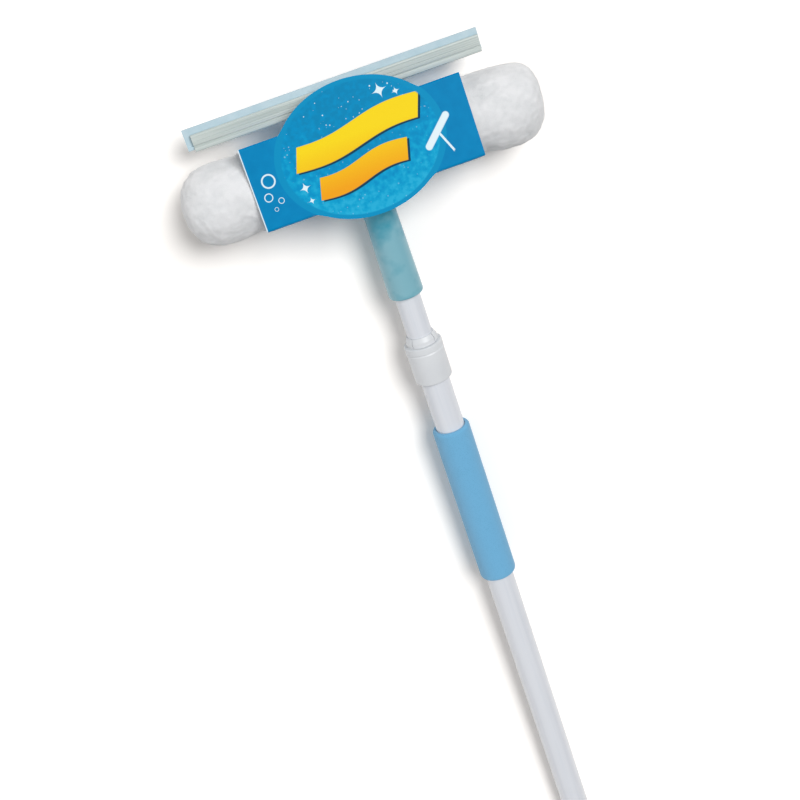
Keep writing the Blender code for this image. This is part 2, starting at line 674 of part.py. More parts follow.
def add_washer_sleeve(bench):
    """The plush sleeve: swollen ends, a waist under the card, and openings for the neck and the stem."""
    half_length = ROLL_LENGTH / 2
    points = pillow_end(ROLL_END_RADIUS, half_length, ROLL_END_ROUNDING, ROLL_END_POINTS)
    swell_length = (ROLL_END_SHOWN - ROLL_END_ROUNDING) * ROLL_SWELL_SHARE
    for step in range(SWELL_POINTS + 1):
        share = step / SWELL_POINTS
        ease = share * share * (3 - 2 * share)
        along = CARD_LENGTH / 2 + swell_length * (1 - share)
        points.append((ROLL_END_RADIUS - ROLL_END_SWELL * ease, along))
    sleeve = turned_on_roll(bench, "washer_sleeve", WHITE_PLUSH, mirrored(points), ROLL_STEPS, closed=False)
    end = pillow_end(HOLLOW_RADIUS, HOLLOW_HALF_LENGTH, HOLLOW_ROUNDING, HOLLOW_END_POINTS)
    hollow_mesh = outline_mesh("sleeve_hollow", mirrored(end), False)
    hollow = bench.cutter("sleeve_hollow", hollow_mesh, turn=ALONG_ROLL)
    spin(hollow, ROLL_STEPS)
    boolean(sleeve, hollow, "DIFFERENCE")
    reach = ROLL_WAIST_RADIUS + CUT_OVERRUN
    neck_hole = cylinder_mesh("neck_hole", neck_radius(ROLL_WAIST_RADIUS) + FIT_GAP, reach, ROLL_STEPS)
    boolean(sleeve, bench.cutter("neck_hole", neck_hole, (0, -reach / 2, 0), UP_THE_POLE), "DIFFERENCE")
    slot_size = (EYE_WIDTH + FIT_GAP + FIT_GAP, reach, STEM_THICKNESS + FIT_GAP + FIT_GAP)
    slot = bench.cutter("stem_slot", box_mesh("stem_slot", slot_size), (0, reach / 2, 0))
    boolean(sleeve, slot, "DIFFERENCE")


def add_channel(bench):
    """The ribbed bar: a body and a rail with a groove between them, open along the top for the rubber."""
    body = CHANNEL_THICKNESS / 2
    rail = RAIL_THICKNESS / 2
    groove = GROOVE_THICKNESS / 2
    slot = RUBBER_THICKNESS / 2 + FIT_GAP
    bulb = RUBBER_BULB_THICKNESS / 2 + FIT_GAP
    rail_top = CHANNEL_BOTTOM + RAIL_HEIGHT
    body_bottom = rail_top + GROOVE_HEIGHT
    room_bottom = CHANNEL_BOTTOM + CHANNEL_FLOOR
    room_top = room_bottom + RUBBER_BULB_HEIGHT + FIT_GAP + FIT_GAP
    front_half = [
        (room_bottom, bulb),
        (room_top, bulb),
        (room_top, slot),
        (CHANNEL_TOP, slot),
        (CHANNEL_TOP, body, CHANNEL_ROUNDING),
        (body_bottom, body),
        (body_bottom, groove),
        (rail_top, groove),
        (rail_top, rail),
        (CHANNEL_BOTTOM, rail, RAIL_ROUNDING),
    ]
    back_half = [(corner[0], -corner[1], *corner[2:]) for corner in reversed(front_half)]
    loop = rounded(front_half + back_half, closed=True)
    mesh = extruded_mesh(bench, "squeegee_channel", [loop], CHANNEL_LENGTH)
    bench.piece("squeegee_channel", mesh, PALE_PLASTIC, (CHANNEL_SHIFT, 0, 0), SECTION)


def add_rubber(bench):
    """The rubber blade: a bulb in the channel and a tapered lip over its top."""
    web = RUBBER_THICKNESS / 2
    bulb = RUBBER_BULB_THICKNESS / 2
    edge = LIP_EDGE_THICKNESS / 2
    bottom = CHANNEL_BOTTOM + CHANNEL_FLOOR + FIT_GAP
    bulb_top = bottom + RUBBER_BULB_HEIGHT
    tip = CHANNEL_TOP + LIP_REACH
    front_half = [
        (tip, edge),
        (tip - LIP_TAPER_LENGTH, web),
        (bulb_top, web),
        (bulb_top, bulb, RUBBER_BULB_ROUNDING),
        (bottom, bulb, RUBBER_BULB_ROUNDING),
    ]
    back_half = [(corner[0], -corner[1], *corner[2:]) for corner in reversed(front_half)]
    loop = rounded(front_half + back_half, closed=True)
    length = CHANNEL_LENGTH + RUBBER_LEFT_OVERHANG + RUBBER_RIGHT_OVERHANG
    middle = CHANNEL_SHIFT + (RUBBER_RIGHT_OVERHANG - RUBBER_LEFT_OVERHANG) / 2
    mesh = extruded_mesh(bench, "blade_rubber", [loop], length)
    bench.piece("blade_rubber", mesh, BLUE_RUBBER, (middle, 0, 0), SECTION)


def add_bracket(bench):
    """The arm from the T bar to the bar: an eye, a stem through the sleeve, and a foot with the back jaw."""
    outer = CLAMP_HALF_THICKNESS
    jaw_top = CHANNEL_BOTTOM + JAW_REACH
    loop = [
        (CLAMP_BOTTOM, outer),
        (CLAMP_BOTTOM, -outer),
        (jaw_top, -outer),
        (jaw_top, -CLAMP_SLOT_HALF),
        (CLAMP_SLOT_BOTTOM, -CLAMP_SLOT_HALF),
        (CLAMP_SLOT_BOTTOM, -FIT_GAP / 2),
        (CLAMP_FLOOR, -FIT_GAP / 2),
        (CLAMP_FLOOR, outer),
    ]
    mesh = extruded_mesh(bench, "blade_bracket", [loop], CLAMP_WIDTH)
    bracket = bench.piece("blade_bracket", mesh, GREY_PLASTIC, turn=SECTION)
    stem_end = CLAMP_BOTTOM + STEM_SINK
    stem = box_mesh("bracket_stem", (EYE_WIDTH - FIT_GAP, stem_end, STEM_THICKNESS))
    boolean(bracket, bench.cutter("bracket_stem", stem, (0, stem_end / 2, 0)), "UNION")
    eye = cylinder_mesh("bracket_eye", EAR_RADIUS, EYE_WIDTH, CORE_STEPS)
    boolean(bracket, bench.cutter("bracket_eye", eye, turn=ALONG_ROLL), "UNION")
    bore = cylinder_mesh("eye_bore", EAR_BORE_RADIUS, EYE_WIDTH + CUT_OVERRUN, CORE_STEPS)
    boolean(bracket, bench.cutter("eye_bore", bore, turn=ALONG_ROLL), "DIFFERENCE")
    return bracket


def add_clamp_plate(bench):
    """The front jaw, which the two clamp screws draw towards the bracket."""
    outer = CLAMP_HALF_THICKNESS
    bottom = CLAMP_FLOOR + FIT_GAP
    jaw_top = CHANNEL_BOTTOM + JAW_REACH
    loop = [
        (bottom, FIT_GAP / 2),
        (CLAMP_SLOT_BOTTOM, FIT_GAP / 2),
        (CLAMP_SLOT_BOTTOM, CLAMP_SLOT_HALF),
        (jaw_top, CLAMP_SLOT_HALF),
        (jaw_top, outer),
        (bottom, outer),
    ]
    mesh = extruded_mesh(bench, "clamp_plate", [loop], CLAMP_WIDTH)
    return bench.piece("clamp_plate", mesh, GREY_PLASTIC, turn=SECTION)


def add_screw(bench, name, place, turn, shank, held):
    """A slotted screw whose head rests at a place. It makes its own hole in each piece that it holds."""
    radius = SCREW_DIAMETER / 2
    head_radius = SCREW_HEAD_DIAMETER / 2
    outline = [
        (0, SCREW_HEAD_HEIGHT),
        (SCREW_CROWN_DIAMETER / 2, SCREW_HEAD_HEIGHT),
        (head_radius, SCREW_HEAD_HEIGHT - SCREW_CROWN_DROP),
        (head_radius, 0),
        (radius, 0),
        (radius, SCREW_TIP - shank),
        (0, -shank),
    ]
    screw = bench.piece(name, outline_mesh(name, outline, False), STEEL, place, turn)
    spin(screw, SCREW_STEPS)
    slot_size = (SCREW_SLOT_WIDTH, SCREW_HEAD_DIAMETER + CUT_OVERRUN, 2 * SCREW_SLOT_DEPTH)
    slot = bench.cutter(name + "_slot", box_mesh(name + "_slot", slot_size), (0, 0, SCREW_HEAD_HEIGHT))
    slot.parent = screw
    boolean(screw, slot, "DIFFERENCE")
    depth = shank + FIT_GAP + CUT_OVERRUN
    hole_mesh = cylinder_mesh(name + "_hole", radius + FIT_GAP, depth, SCREW_STEPS)
    hole = bench.cutter(name + "_hole", hole_mesh, (0, 0, CUT_OVERRUN - depth / 2))
    hole.parent = screw
    for piece in held:
        boolean(piece, hole, "DIFFERENCE")


def add_screws(bench, inner_tube, neck, t_bar, bracket, clamp_plate):
    """Every screw, in the pieces that it holds."""
    ear_seat = -(EAR_RADIUS + FIT_GAP)
    ear_side = EAR_SCREW_SPACING / 2
    clamp_side = CLAMP_SCREW_SPACING / 2
    clamp_height = (CLAMP_FLOOR + CLAMP_SLOT_BOTTOM) / 2
    clamp_seat = CLAMP_HALF_THICKNESS + FIT_GAP
    neck_seat = -(neck_radius(NECK_SCREW_STATION) + FIT_GAP)
    for name, side in (("t_bar_screw_left", -ear_side), ("t_bar_screw_right", ear_side)):
        add_screw(bench, name, (side, 0, ear_seat), TO_BACK, SHORT_SHANK, (neck, t_bar))
    add_screw(bench, "bracket_screw", (0, 0, ear_seat), TO_BACK, SHORT_SHANK, (bracket, t_bar))
    for name, side in (("clamp_screw_left", -clamp_side), ("clamp_screw_right", clamp_side)):
        place = (side, clamp_height, clamp_seat)
        add_screw(bench, name, place, TO_FRONT, CLAMP_SHANK, (clamp_plate, bracket))
    neck_place = (0, -NECK_SCREW_STATION, neck_seat)
    add_screw(bench, "neck_screw", neck_place, TO_BACK, SHORT_SHANK, (neck, inner_tube))


def card_point(height, rise):
    """The (Y, Z) of a point on the card's face, from its height over the axis and its rise along the face."""
    normal = Vector((math.sin(CARD_TILT), math.cos(CARD_TILT)))
    along = Vector((math.cos(CARD_TILT), -math.sin(CARD_TILT)))
    return normal * height + along * rise


def wrap_path(radius, inset):
    """The card's way from its upper fold round the back of the roll to its lower fold, as (Y, Z) points."""
    middle = CARD_RADIUS + CARD_THICKNESS / 2
    upper = card_point(middle, CARD_FACE_RISE + CARD_FACE_HEIGHT / 2 - inset)
    lower = card_point(middle, CARD_FACE_RISE - CARD_FACE_HEIGHT / 2 + inset)
    start = math.atan2(upper.y, upper.x) - math.acos(radius / upper.length)
    end = math.atan2(lower.y, lower.x) - 2 * math.pi + math.acos(radius / lower.length)
    path = [upper]
    for step in range(WRAP_STEPS + 1):
        turn = start + (end - start) * step / WRAP_STEPS
        path.append(Vector((radius * math.cos(turn), radius * math.sin(turn))))
    return path + [lower]


def blended(first, second, reach):
    """The larger of two heights, with a fillet where they meet."""
    overlap = max(reach - abs(first - second), 0) / reach
    return max(first, second) + overlap * overlap * reach / 4


def face_edge(side):
    """A long edge of the card's face as (X, rise) points, with the oval standing out. Side: 1 up, -1 down."""
    half_length = CARD_LENGTH / 2
    half_face = CARD_FACE_HEIGHT / 2
    oval_offset = side * (OVAL_RISE - CARD_FACE_RISE)
    points = [(-half_length, CARD_FACE_RISE + side * half_face)]
    for step in range(OVAL_STEPS + 1):
        turn = math.pi * (step / OVAL_STEPS - 1 / 2)
        height = blended(half_face, oval_offset + OVAL_HEIGHT / 2 * math.cos(turn), OVAL_FILLET)
        if height > half_face + WELD_DISTANCE:
            points.append((OVAL_LENGTH / 2 * math.sin(turn), CARD_FACE_RISE + side * height))
    points.append((half_length, CARD_FACE_RISE + side * half_face))
    return points


def add_card(bench):
    """The printed card: its flat face, and the wrap with an opening for the clamp and a hole for the neck."""
    face = extruded_mesh(bench, "card_band", [face_edge(1) + face_edge(-1)[::-1]], CARD_THICKNESS)
    centre = card_point(CARD_RADIUS + CARD_THICKNESS / 2, 0)
    card = bench.piece("card_band", face, BLUE_CARD, (0, *centre), (-CARD_TILT, 0, 0))
    fold_inset = CARD_THICKNESS / 5
    outer = wrap_path(CARD_RADIUS + CARD_THICKNESS, fold_inset)
    inner = wrap_path(CARD_RADIUS, fold_inset + CARD_THICKNESS)
    wrap_length = CARD_LENGTH - fold_inset - fold_inset
    wrap = extruded_mesh(bench, "card_wrap", [outer + inner[::-1]], wrap_length)
    boolean(card, bench.cutter("card_wrap", wrap, turn=SECTION), "UNION")
    back = CLAMP_HALF_THICKNESS + CARD_HOLE_MARGIN
    opening_size = (CLAMP_WIDTH + 2 * CARD_HOLE_MARGIN, ROLL_WAIST_RADIUS, CARD_SLOT_FRONT + back)
    opening_place = (0, CARD_RADIUS, (CARD_SLOT_FRONT - back) / 2)
    opening = box_mesh("card_opening", opening_size)
    boolean(card, bench.cutter("card_opening", opening, opening_place), "DIFFERENCE")
    hole_radius = neck_radius(CARD_RADIUS) + CARD_HOLE_MARGIN
    hole = cylinder_mesh("card_neck_hole", hole_radius, ROLL_WAIST_RADIUS, CORE_STEPS)
    boolean(card, bench.cutter("card_neck_hole", hole, (0, -CARD_RADIUS, 0), UP_THE_POLE), "DIFFERENCE")


def lay_down(bench):
    """Tilts the wand onto the roll's ends and the end cap, and moves its box's bottom centre to zero."""
    foot = CAP_END - CAP_ROUNDING
    reach = math.hypot(foot, CAP_RADIUS)
    bench.wand.rotation_euler.x = math.asin(ROLL_END_RADIUS / reach) - math.atan2(CAP_RADIUS, foot)
    graph = bpy.context.evaluated_depsgraph_get()
    corners = []
    for obj in bench.parts.objects:
        if obj.type == "MESH":
            shape = obj.evaluated_get(graph)
            corners += [shape.matrix_world @ vertex.co for vertex in shape.data.vertices]
    for axis in (0, 1):
        places = [corner[axis] for corner in corners]
        bench.wand.location[axis] = -(min(places) + max(places)) / 2
    bench.wand.location.z = -min(corner.z for corner in corners)


def main():
    """Builds the squeegee in an empty scene."""
    for obj in list(bpy.data.objects):
        bpy.data.objects.remove(obj)
    bench = Bench("telescopic_window_squeegee")
    inner_tube = add_tubes(bench)
    add_tail(bench)
    add_grip(bench)
    add_end_cap(bench)
    add_collet(bench)
    add_ferrule(bench)
    add_lock_collar(bench)
    neck = add_neck(bench)
    t_bar = add_t_bar(bench)
    add_sponge_cores(bench)
    add_washer_sleeve(bench)
    add_channel(bench)
    add_rubber(bench)
    bracket = add_bracket(bench)
    clamp_plate = add_clamp_plate(bench)
    add_screws(bench, inner_tube, neck, t_bar, bracket, clamp_plate)
    add_card(bench)
    lay_down(bench)


main()
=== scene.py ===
"""The telescopic window squeegee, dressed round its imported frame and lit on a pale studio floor.

Every mesh here is made in the wand's own axes, in metres: X runs along the washing roll, Y up the pole, and Z
out of the card. The origin is the centre of the roll. A piece is then laid on the floor with the wand, and it
rides on its body.
"""

from __future__ import annotations

import json
import logging
import math
from dataclasses import dataclass, field
from enum import Enum, IntEnum
from typing import Any

import bmesh
import bpy
from bpy.types import ID, Material, Mesh, Node, NodeSocket, NodeTree, Object
from mathutils import Matrix, Vector, noise


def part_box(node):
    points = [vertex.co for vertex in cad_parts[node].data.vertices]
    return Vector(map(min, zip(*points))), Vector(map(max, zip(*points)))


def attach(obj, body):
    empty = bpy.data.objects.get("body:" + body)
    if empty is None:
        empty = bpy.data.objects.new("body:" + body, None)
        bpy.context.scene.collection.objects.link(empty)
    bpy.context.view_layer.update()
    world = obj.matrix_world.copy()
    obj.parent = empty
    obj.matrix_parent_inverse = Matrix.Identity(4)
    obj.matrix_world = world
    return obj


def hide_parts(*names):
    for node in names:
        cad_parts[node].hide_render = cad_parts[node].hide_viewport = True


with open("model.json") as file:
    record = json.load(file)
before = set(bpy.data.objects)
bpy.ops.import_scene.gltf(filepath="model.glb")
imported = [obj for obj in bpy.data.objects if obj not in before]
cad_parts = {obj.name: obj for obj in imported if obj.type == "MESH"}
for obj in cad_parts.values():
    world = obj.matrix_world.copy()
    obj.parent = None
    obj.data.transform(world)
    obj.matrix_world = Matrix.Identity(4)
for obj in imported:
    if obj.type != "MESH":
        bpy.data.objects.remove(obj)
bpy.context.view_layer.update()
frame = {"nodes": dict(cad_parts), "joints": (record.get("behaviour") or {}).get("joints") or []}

LOG = logging.getLogger("window_squeegee")
MM = 0.001
WELD = 0.001 * MM
SHARP_DEGREES = 35.0
Corners = list[tuple[float, ...]]
Outline = list[tuple[float, float]]


class Body(str, Enum):
    """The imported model's bodies that carry new pieces."""

    OUTER_POLE = "outer_pole"
    LOCK_COLLAR = "lock_collar"
    INNER_POLE = "inner_pole"


class Slot(str, Enum):
    """The record's material slots."""

    ENAMEL = "white_enamel"
    WHITE = "white_plastic"
    TEAL = "teal_plastic"
    GREY = "grey_plastic"
    BAR = "pale_plastic"
    RUBBER = "blue_rubber"
    FOAM = "blue_foam"
    PLUSH = "white_plush"
    SPONGE = "sponge"
    CARD = "blue_card"
    STEEL = "steel"


class BoardSide(IntEnum):
    """The two looks of the card: its print, and the bare board of its face's back and cut edges."""

    PRINT = 0
    BARE = 1


def linear(hex_colour: str) -> tuple[float, float, float, float]:
    """Turns an sRGB hex colour into linear RGBA.

    Args:
        hex_colour: six hex digits, such as "4FA3B5".

    Returns:
        The linear red, green and blue, and an alpha of 1.
    """
    channels = [int(hex_colour[i:i + 2], 16) / 255 for i in (0, 2, 4)]
    red, green, blue = [c / 12.92 if c <= 0.04045 else ((c + 0.055) / 1.055) ** 2.4 for c in channels]
    return red, green, blue, 1.0


def within_unit(value: float) -> float:
    """The value, kept from 0 to 1."""
    return min(max(value, 0), 1)


def eased(value: float) -> float:
    """A smooth step up from 0 to 1."""
    return value * value * (3 - 2 * value)


def in_scene(name: str, data: ID) -> Object:
    """Puts a new object that holds the data in the scene."""
    made = bpy.data.objects.new(name, data)
    bpy.context.scene.collection.objects.link(made)
    return made


def add_node(tree: NodeTree, kind: str, inputs: dict[str | int, Any] | None = None, **settings: Any) -> Node:
    """Adds a node with its settings and links.

    Args:
        tree: the node tree that takes the node.
        kind: the node's type, where ShaderNode may be left out, such as "Math".
        inputs: for each socket, a constant, or the output socket or Value that feeds it.
        **settings: attribute values of the node.

    Returns:
        The new node.
    """
    node = tree.nodes.new(kind if kind.startswith("Node") else "ShaderNode" + kind)
    for name, setting in settings.items():
        setattr(node, name, setting)
    for socket, given in (inputs or {}).items():
        given = given.socket if isinstance(given, Value) else given
        if isinstance(given, NodeSocket):
            tree.links.new(given, node.inputs[socket])
        else:
            node.inputs[socket].default_value = given
    return node


@dataclass(frozen=True)
class Value:
    """A number that a material's nodes work out at each place. It takes plain arithmetic."""

    tree: NodeTree
    socket: NodeSocket

    @classmethod
    def parts(cls, tree: NodeTree, place: NodeSocket) -> list[Value]:
        """The X, Y and Z of a place."""
        return [cls(tree, part) for part in add_node(tree, "SeparateXYZ", {"Vector": place}).outputs]

    def worked(self, operation: str, *terms: Value | NodeSocket | float) -> Value:
        """The result of one of the Math node's operations on this value and the terms."""
        node = add_node(self.tree, "Math", dict(enumerate((self, *terms))), operation=operation)
        return Value(self.tree, node.outputs[0])

    def __add__(self, term: Value | float) -> Value:
        """The sum."""
        return self.worked("ADD", term)

    def __sub__(self, term: Value | float) -> Value:
        """The difference."""
        return self.worked("SUBTRACT", term)

    def __mul__(self, term: Value | float) -> Value:
        """The product."""
        return self.worked("MULTIPLY", term)

    def __abs__(self) -> Value:
        """The size, without its sign."""
        return self.worked("ABSOLUTE")

    def ranged(self, known: tuple[float, float], wanted: tuple[float, float] = (0.0, 1.0)) -> Value:
        """Stretches one range of this value to another, and keeps the result within it.

        Args:
            known: this value at the two ends of the range.
            wanted: the result there.

        Returns:
            The result.
        """
        names = ("From Min", "From Max", "To Min", "To Max")
        limits = dict(zip(names, (*known, *wanted)))
        return Value(self.tree, add_node(self.tree, "MapRange", {"Value": self, **limits}).outputs["Result"])

    def under(self, edge: float, soft: float) -> Value:
        """A mask that is 1 where this value lies under an edge, and falls to 0 over a soft width there."""
        return self.ranged((edge + soft / 2, edge - soft / 2))

    def coloured(self, *stops: tuple[float, str]) -> NodeSocket:
        """Lets this value pick a colour.

        Args:
            *stops: each stop's value, from low to high, and its sRGB hex colour.

        Returns:
            The colour's output socket.
        """
        ramp = add_node(self.tree, "ValToRGB", {"Fac": self})
        elements = ramp.color_ramp.elements
        elements.remove(elements[-1])
        elements[0].position = stops[0][0]
        elements[0].color = linear(stops[0][1])
        for place, colour in stops[1:]:
            elements.new(place).color = linear(colour)
        return ramp.outputs["Color"]


Graded = tuple[Value, float, float]
Layers = list[tuple[str | NodeSocket, Value]]


class Surface:
    """A material in the making: its Principled shader, and the place that its patterns are drawn by."""

    def __init__(self, name: str, roughness: float, **sockets: Any) -> None:
        """Makes a Principled material with its constants on the shader's own sockets.

        Args:
            name: the material's name.
            roughness: the shader's roughness.
            **sockets: other shader inputs, each with underscores for the spaces in its name.
        """
        self.material = bpy.data.materials.new(name)
        self.material.use_nodes = True
        self.tree = self.material.node_tree
        self.shader = self.tree.nodes["Principled BSDF"]
        for key, constant in {"Roughness": roughness, **sockets}.items():
            self.shader.inputs[key.replace("_", " ")].default_value = constant
        self.place = add_node(self.tree, "TexCoord").outputs["Object"]

    def pattern(self, kind: str, grain_mm: float | tuple[float, ...], **inputs: float) -> Value:
        """Draws a pattern at the size of the real one.

        Args:
            kind: the texture's node type.
            grain_mm: the size of one grain, the same every way or along X, Y and Z.
            **inputs: the texture's other inputs.

        Returns:
            The first number that the texture gives.
        """
        place, scale = self.place, 1.0
        if isinstance(grain_mm, tuple):
            drawn = {"Vector": place, "Scale": [1 / (size * MM) for size in grain_mm]}
            place = add_node(self.tree, "Mapping", drawn).outputs["Vector"]
        else:
            scale = 1 / (grain_mm * MM)
        texture = add_node(self.tree, kind, {"Vector": place, "Scale": scale, **inputs})
        return Value(self.tree, texture.outputs[0])

    def finished(
        self, colour: NodeSocket | None = None, relief: Graded | None = None, gloss: Graded | None = None
    ) -> Material:
        """Feeds the shader what varies over the surface.

        Args:
            colour: the colour's socket.
            relief: the Value that stands out, by how many millimetres, and how strongly it shows.
            gloss: the Value that the roughness follows, and the roughness at its 0 and its 1.

        Returns:
            The finished material.
        """
        feeds = {"Base Color": colour}
        if relief:
            height, depth_mm, strength = relief
            bump = {"Height": height, "Distance": depth_mm * MM, "Strength": strength}
            feeds["Normal"] = add_node(self.tree, "Bump", bump).outputs["Normal"]
        if gloss:
            feeds["Roughness"] = gloss[0].ranged((0.0, 1.0), gloss[1:]).socket
        for key, socket in feeds.items():
            if socket:
                self.tree.links.new(socket, self.shader.inputs[key])
        return self.material


@dataclass(frozen=True)
class MouldedPlastic:
    """Injection-moulded ABS or polypropylene: an even colour, a fine spark-eroded grain and a satin gloss."""

    name: str
    colour: str
    shade: str
    roughness: float
    flow_mm: float = 35
    # Painted shadow of the card: the colour darkens by this share of its ramp between the two stations below.
    shadow_drift: float = 0.0
    shadow_mm: float = -50
    unshaded_mm: float = -84
    grain_mm: float = 0.9
    grain_depth_mm: float = 0.02

    def build(self) -> Material:
        """Makes the material. Flow noise tints it, a painted shadow can darken it towards the head, and its
        grain breaks the gloss.
        """
        plastic = Surface(self.name, self.roughness, IOR=1.53)
        flow = plastic.pattern("TexNoise", self.flow_mm, Detail=3)
        # Painted shadow: the colour darkens towards the head, standing in for the card's shadow on the neck.
        reach = Value.parts(plastic.tree, plastic.place)[1]
        card_shadow = reach.ranged((self.unshaded_mm * MM, self.shadow_mm * MM), (self.shadow_drift, -self.shadow_drift))
        # The grain is drawn coarser than the real 0.1 mm one, which would be too fine to show.
        grain = plastic.pattern("TexNoise", self.grain_mm, Detail=2)
        colour = (flow + card_shadow).coloured((0.35, self.shade), (0.65, self.colour))
        return plastic.finished(colour, (grain, self.grain_depth_mm, 0.6))


@dataclass(frozen=True)
class Enamel:
    """White stoving enamel on thin steel tube: a bright even coat with a faint orange peel in its gloss."""

    colour: str = "E0E3E9"
    shade: str = "DADEE5"
    draw_mm: tuple[float, ...] = (3, 120, 3)
    peel_mm: float = 2.2
    peel_depth_mm: float = 0.015

    def build(self) -> Material:
        """Makes the material. The peel bends reflections a little, and long draw marks vary the gloss."""
        coat = Surface("white_enamel_on_steel", 0.3, IOR=1.5, Coat_Weight=0.25, Coat_Roughness=0.12)
        marks = coat.pattern("TexNoise", self.draw_mm, Detail=3)
        peel = coat.pattern("TexNoise", self.peel_mm, Detail=1)
        colour = marks.coloured((0.3, self.shade), (0.6, self.colour))
        return coat.finished(colour, (peel, self.peel_depth_mm, 0.5), (marks, 0.24, 0.4))


@dataclass(frozen=True)
class ExtrudedPlastic:
    """Extruded rigid PVC: fine die lines run the whole length and give a silky streaked gloss."""

    colour: str = "D3DBD8"
    shade: str = "B3BFBB"
    line_mm: tuple[float, ...] = (90, 0.5, 0.5)
    line_depth_mm: float = 0.03

    def build(self) -> Material:
        """Makes the material. The die lines are long noise, thin across the bar."""
        bar = Surface("extruded_pvc", 0.34, IOR=1.54)
        lines = bar.pattern("TexNoise", self.line_mm, Detail=2)
        colour = lines.coloured((0.3, self.shade), (0.65, self.colour))
        return bar.finished(colour, (lines, self.line_depth_mm, 0.5))


@dataclass(frozen=True)
class BladeRubber:
    """Soft thermoplastic rubber, extruded and knife-cut: matt, with a light dusty bloom."""

    colour: str = "B3CCD7"
    bloom: str = "BFD4DD"
    patch_mm: float = 9

    def build(self) -> Material:
        """Makes the material. The bloom is a patchy paler tint that also dulls the surface."""
        rubber = Surface("blade_rubber_tpe", 0.6, IOR=1.5)
        patches = rubber.pattern("TexNoise", self.patch_mm, Detail=4)
        colour = patches.coloured((0.35, self.colour), (0.7, self.bloom))
        return rubber.finished(colour, gloss=(patches, 0.5, 0.75))


@dataclass(frozen=True)
class ClosedCellFoam:
    """Closed-cell rubber foam, cut as a tube: a matt skin pitted with fine pores."""

    colour: str = "6CB1DA"
    # Painted shade: the darker colour in the pores' pits.
    pore_shade: str = "58A0CA"
    pore_mm: float = 0.9
    pore_depth_mm: float = 0.12
    cloud_mm: float = 14

    def build(self) -> Material:
        """Makes the material. Pores are pits with painted shade in them, and the skin takes a soft sheen from
        the side.
        """
        foam = Surface("blue_closed_cell_foam", 0.85, IOR=1.45, Sheen_Weight=0.25, Sheen_Roughness=0.6)
        # Real pores are about 0.3 mm wide. They are drawn three times as wide, so that they show.
        pits = foam.pattern("TexVoronoi", self.pore_mm).ranged((0.05, 0.5))
        cloud = foam.pattern("TexNoise", self.cloud_mm, Detail=4)
        # Painted shade: the pits darken towards the pore colour. The cloud is the foam's own uneven tone.
        colour = (cloud * 0.5 + pits).coloured((0.3, self.pore_shade), (1.0, self.colour))
        return foam.finished(colour, (pits, self.pore_depth_mm, 0.7))


@dataclass(frozen=True)
class PlushPile:
    """Knitted polyester plush: a dense upright pile that scatters light softly, with painted shade greying
    its hollows and creases.
    """

    # Painted shade and light: the pile's tips near white, its body, and the grey of its hollows.
    tip: str = "EFF0F2"
    body: str = "E2E4E6"
    hollow_shade: str = "B9BFC0"
    tuft_mm: float = 0.8
    tuft_depth_mm: float = 0.8

    def build(self) -> Material:
        """Makes the material. How deep each place lies in the pile and its creases, carried by the mesh, is
        painted as shade.
        """
        plush = Surface("white_polyester_plush", 1.0, IOR=1.4, Sheen_Weight=0.35, Sheen_Roughness=0.5)
        depth = add_node(plush.tree, "Attribute", attribute_name="pile_shade_height").outputs["Fac"]
        # Single fibres are 0.02 mm thick. They are drawn as tufts of about a millimetre, so that they show.
        tufts = plush.pattern("TexNoise", self.tuft_mm, Detail=3, Roughness=0.7)
        # Painted shade in the low places and creases, and painted light on the tufts' tops.
        colour = (tufts * 0.45 + depth).coloured((0.1, self.hollow_shade), (0.5, self.body), (0.9, self.tip))
        return plush.finished(colour, (tufts, self.tuft_depth_mm, 0.7))


@dataclass(frozen=True)
class OpenCellSponge:
    """Open-cell polyurethane sponge: pale yellow with deep round cells."""

    colour: str = "E9DDB0"
    # Painted shade: the dark colour inside the cells.
    cell_shade: str = "B9A873"
    cell_mm: float = 1.6
    cell_depth_mm: float = 0.8

    def build(self) -> Material:
        """Makes the material. Cells are deep, with painted shade darkening them, and the walls between them
        stay pale.
        """
        sponge = Surface("open_cell_sponge", 1.0, IOR=1.4)
        cells = sponge.pattern("TexVoronoi", self.cell_mm)
        # Painted shade in the cells.
        colour = cells.coloured((0.15, self.cell_shade), (0.5, self.colour))
        return sponge.finished(colour, (cells, self.cell_depth_mm, 0.8))


@dataclass(frozen=True)
class ZincPlatedSteel:
    """Zinc-plated screw steel: bright grey, with fine turning marks."""

    colour: str = "B9BBBD"
    mark_mm: float = 0.4

    def build(self) -> Material:
        """Makes the material. The turning marks vary its gloss."""
        steel = Surface("zinc_plated_steel", 0.32, Metallic=1.0, Base_Color=linear(self.colour))
        return steel.finished(gloss=(steel.pattern("TexNoise", self.mark_mm, Detail=2), 0.22, 0.45))


@dataclass(frozen=True)
class BareBoard:
    """The uncoated back and cut edge of white-lined board: soft grey-white, with short paper fibres."""

    colour: str = "E4E8EA"
    shade: str = "CFD3D3"
    fibre_mm: tuple[float, ...] = (3, 1, 1)

    def build(self) -> Material:
        """Makes the material. Fibres are short noise, a little stretched along the sheet."""
        board = Surface("bare_white_board", 0.9, IOR=1.45)
        fibres = board.pattern("TexNoise", self.fibre_mm, Detail=4)
        return board.finished(fibres.coloured((0.3, self.shade), (0.6, self.colour)))


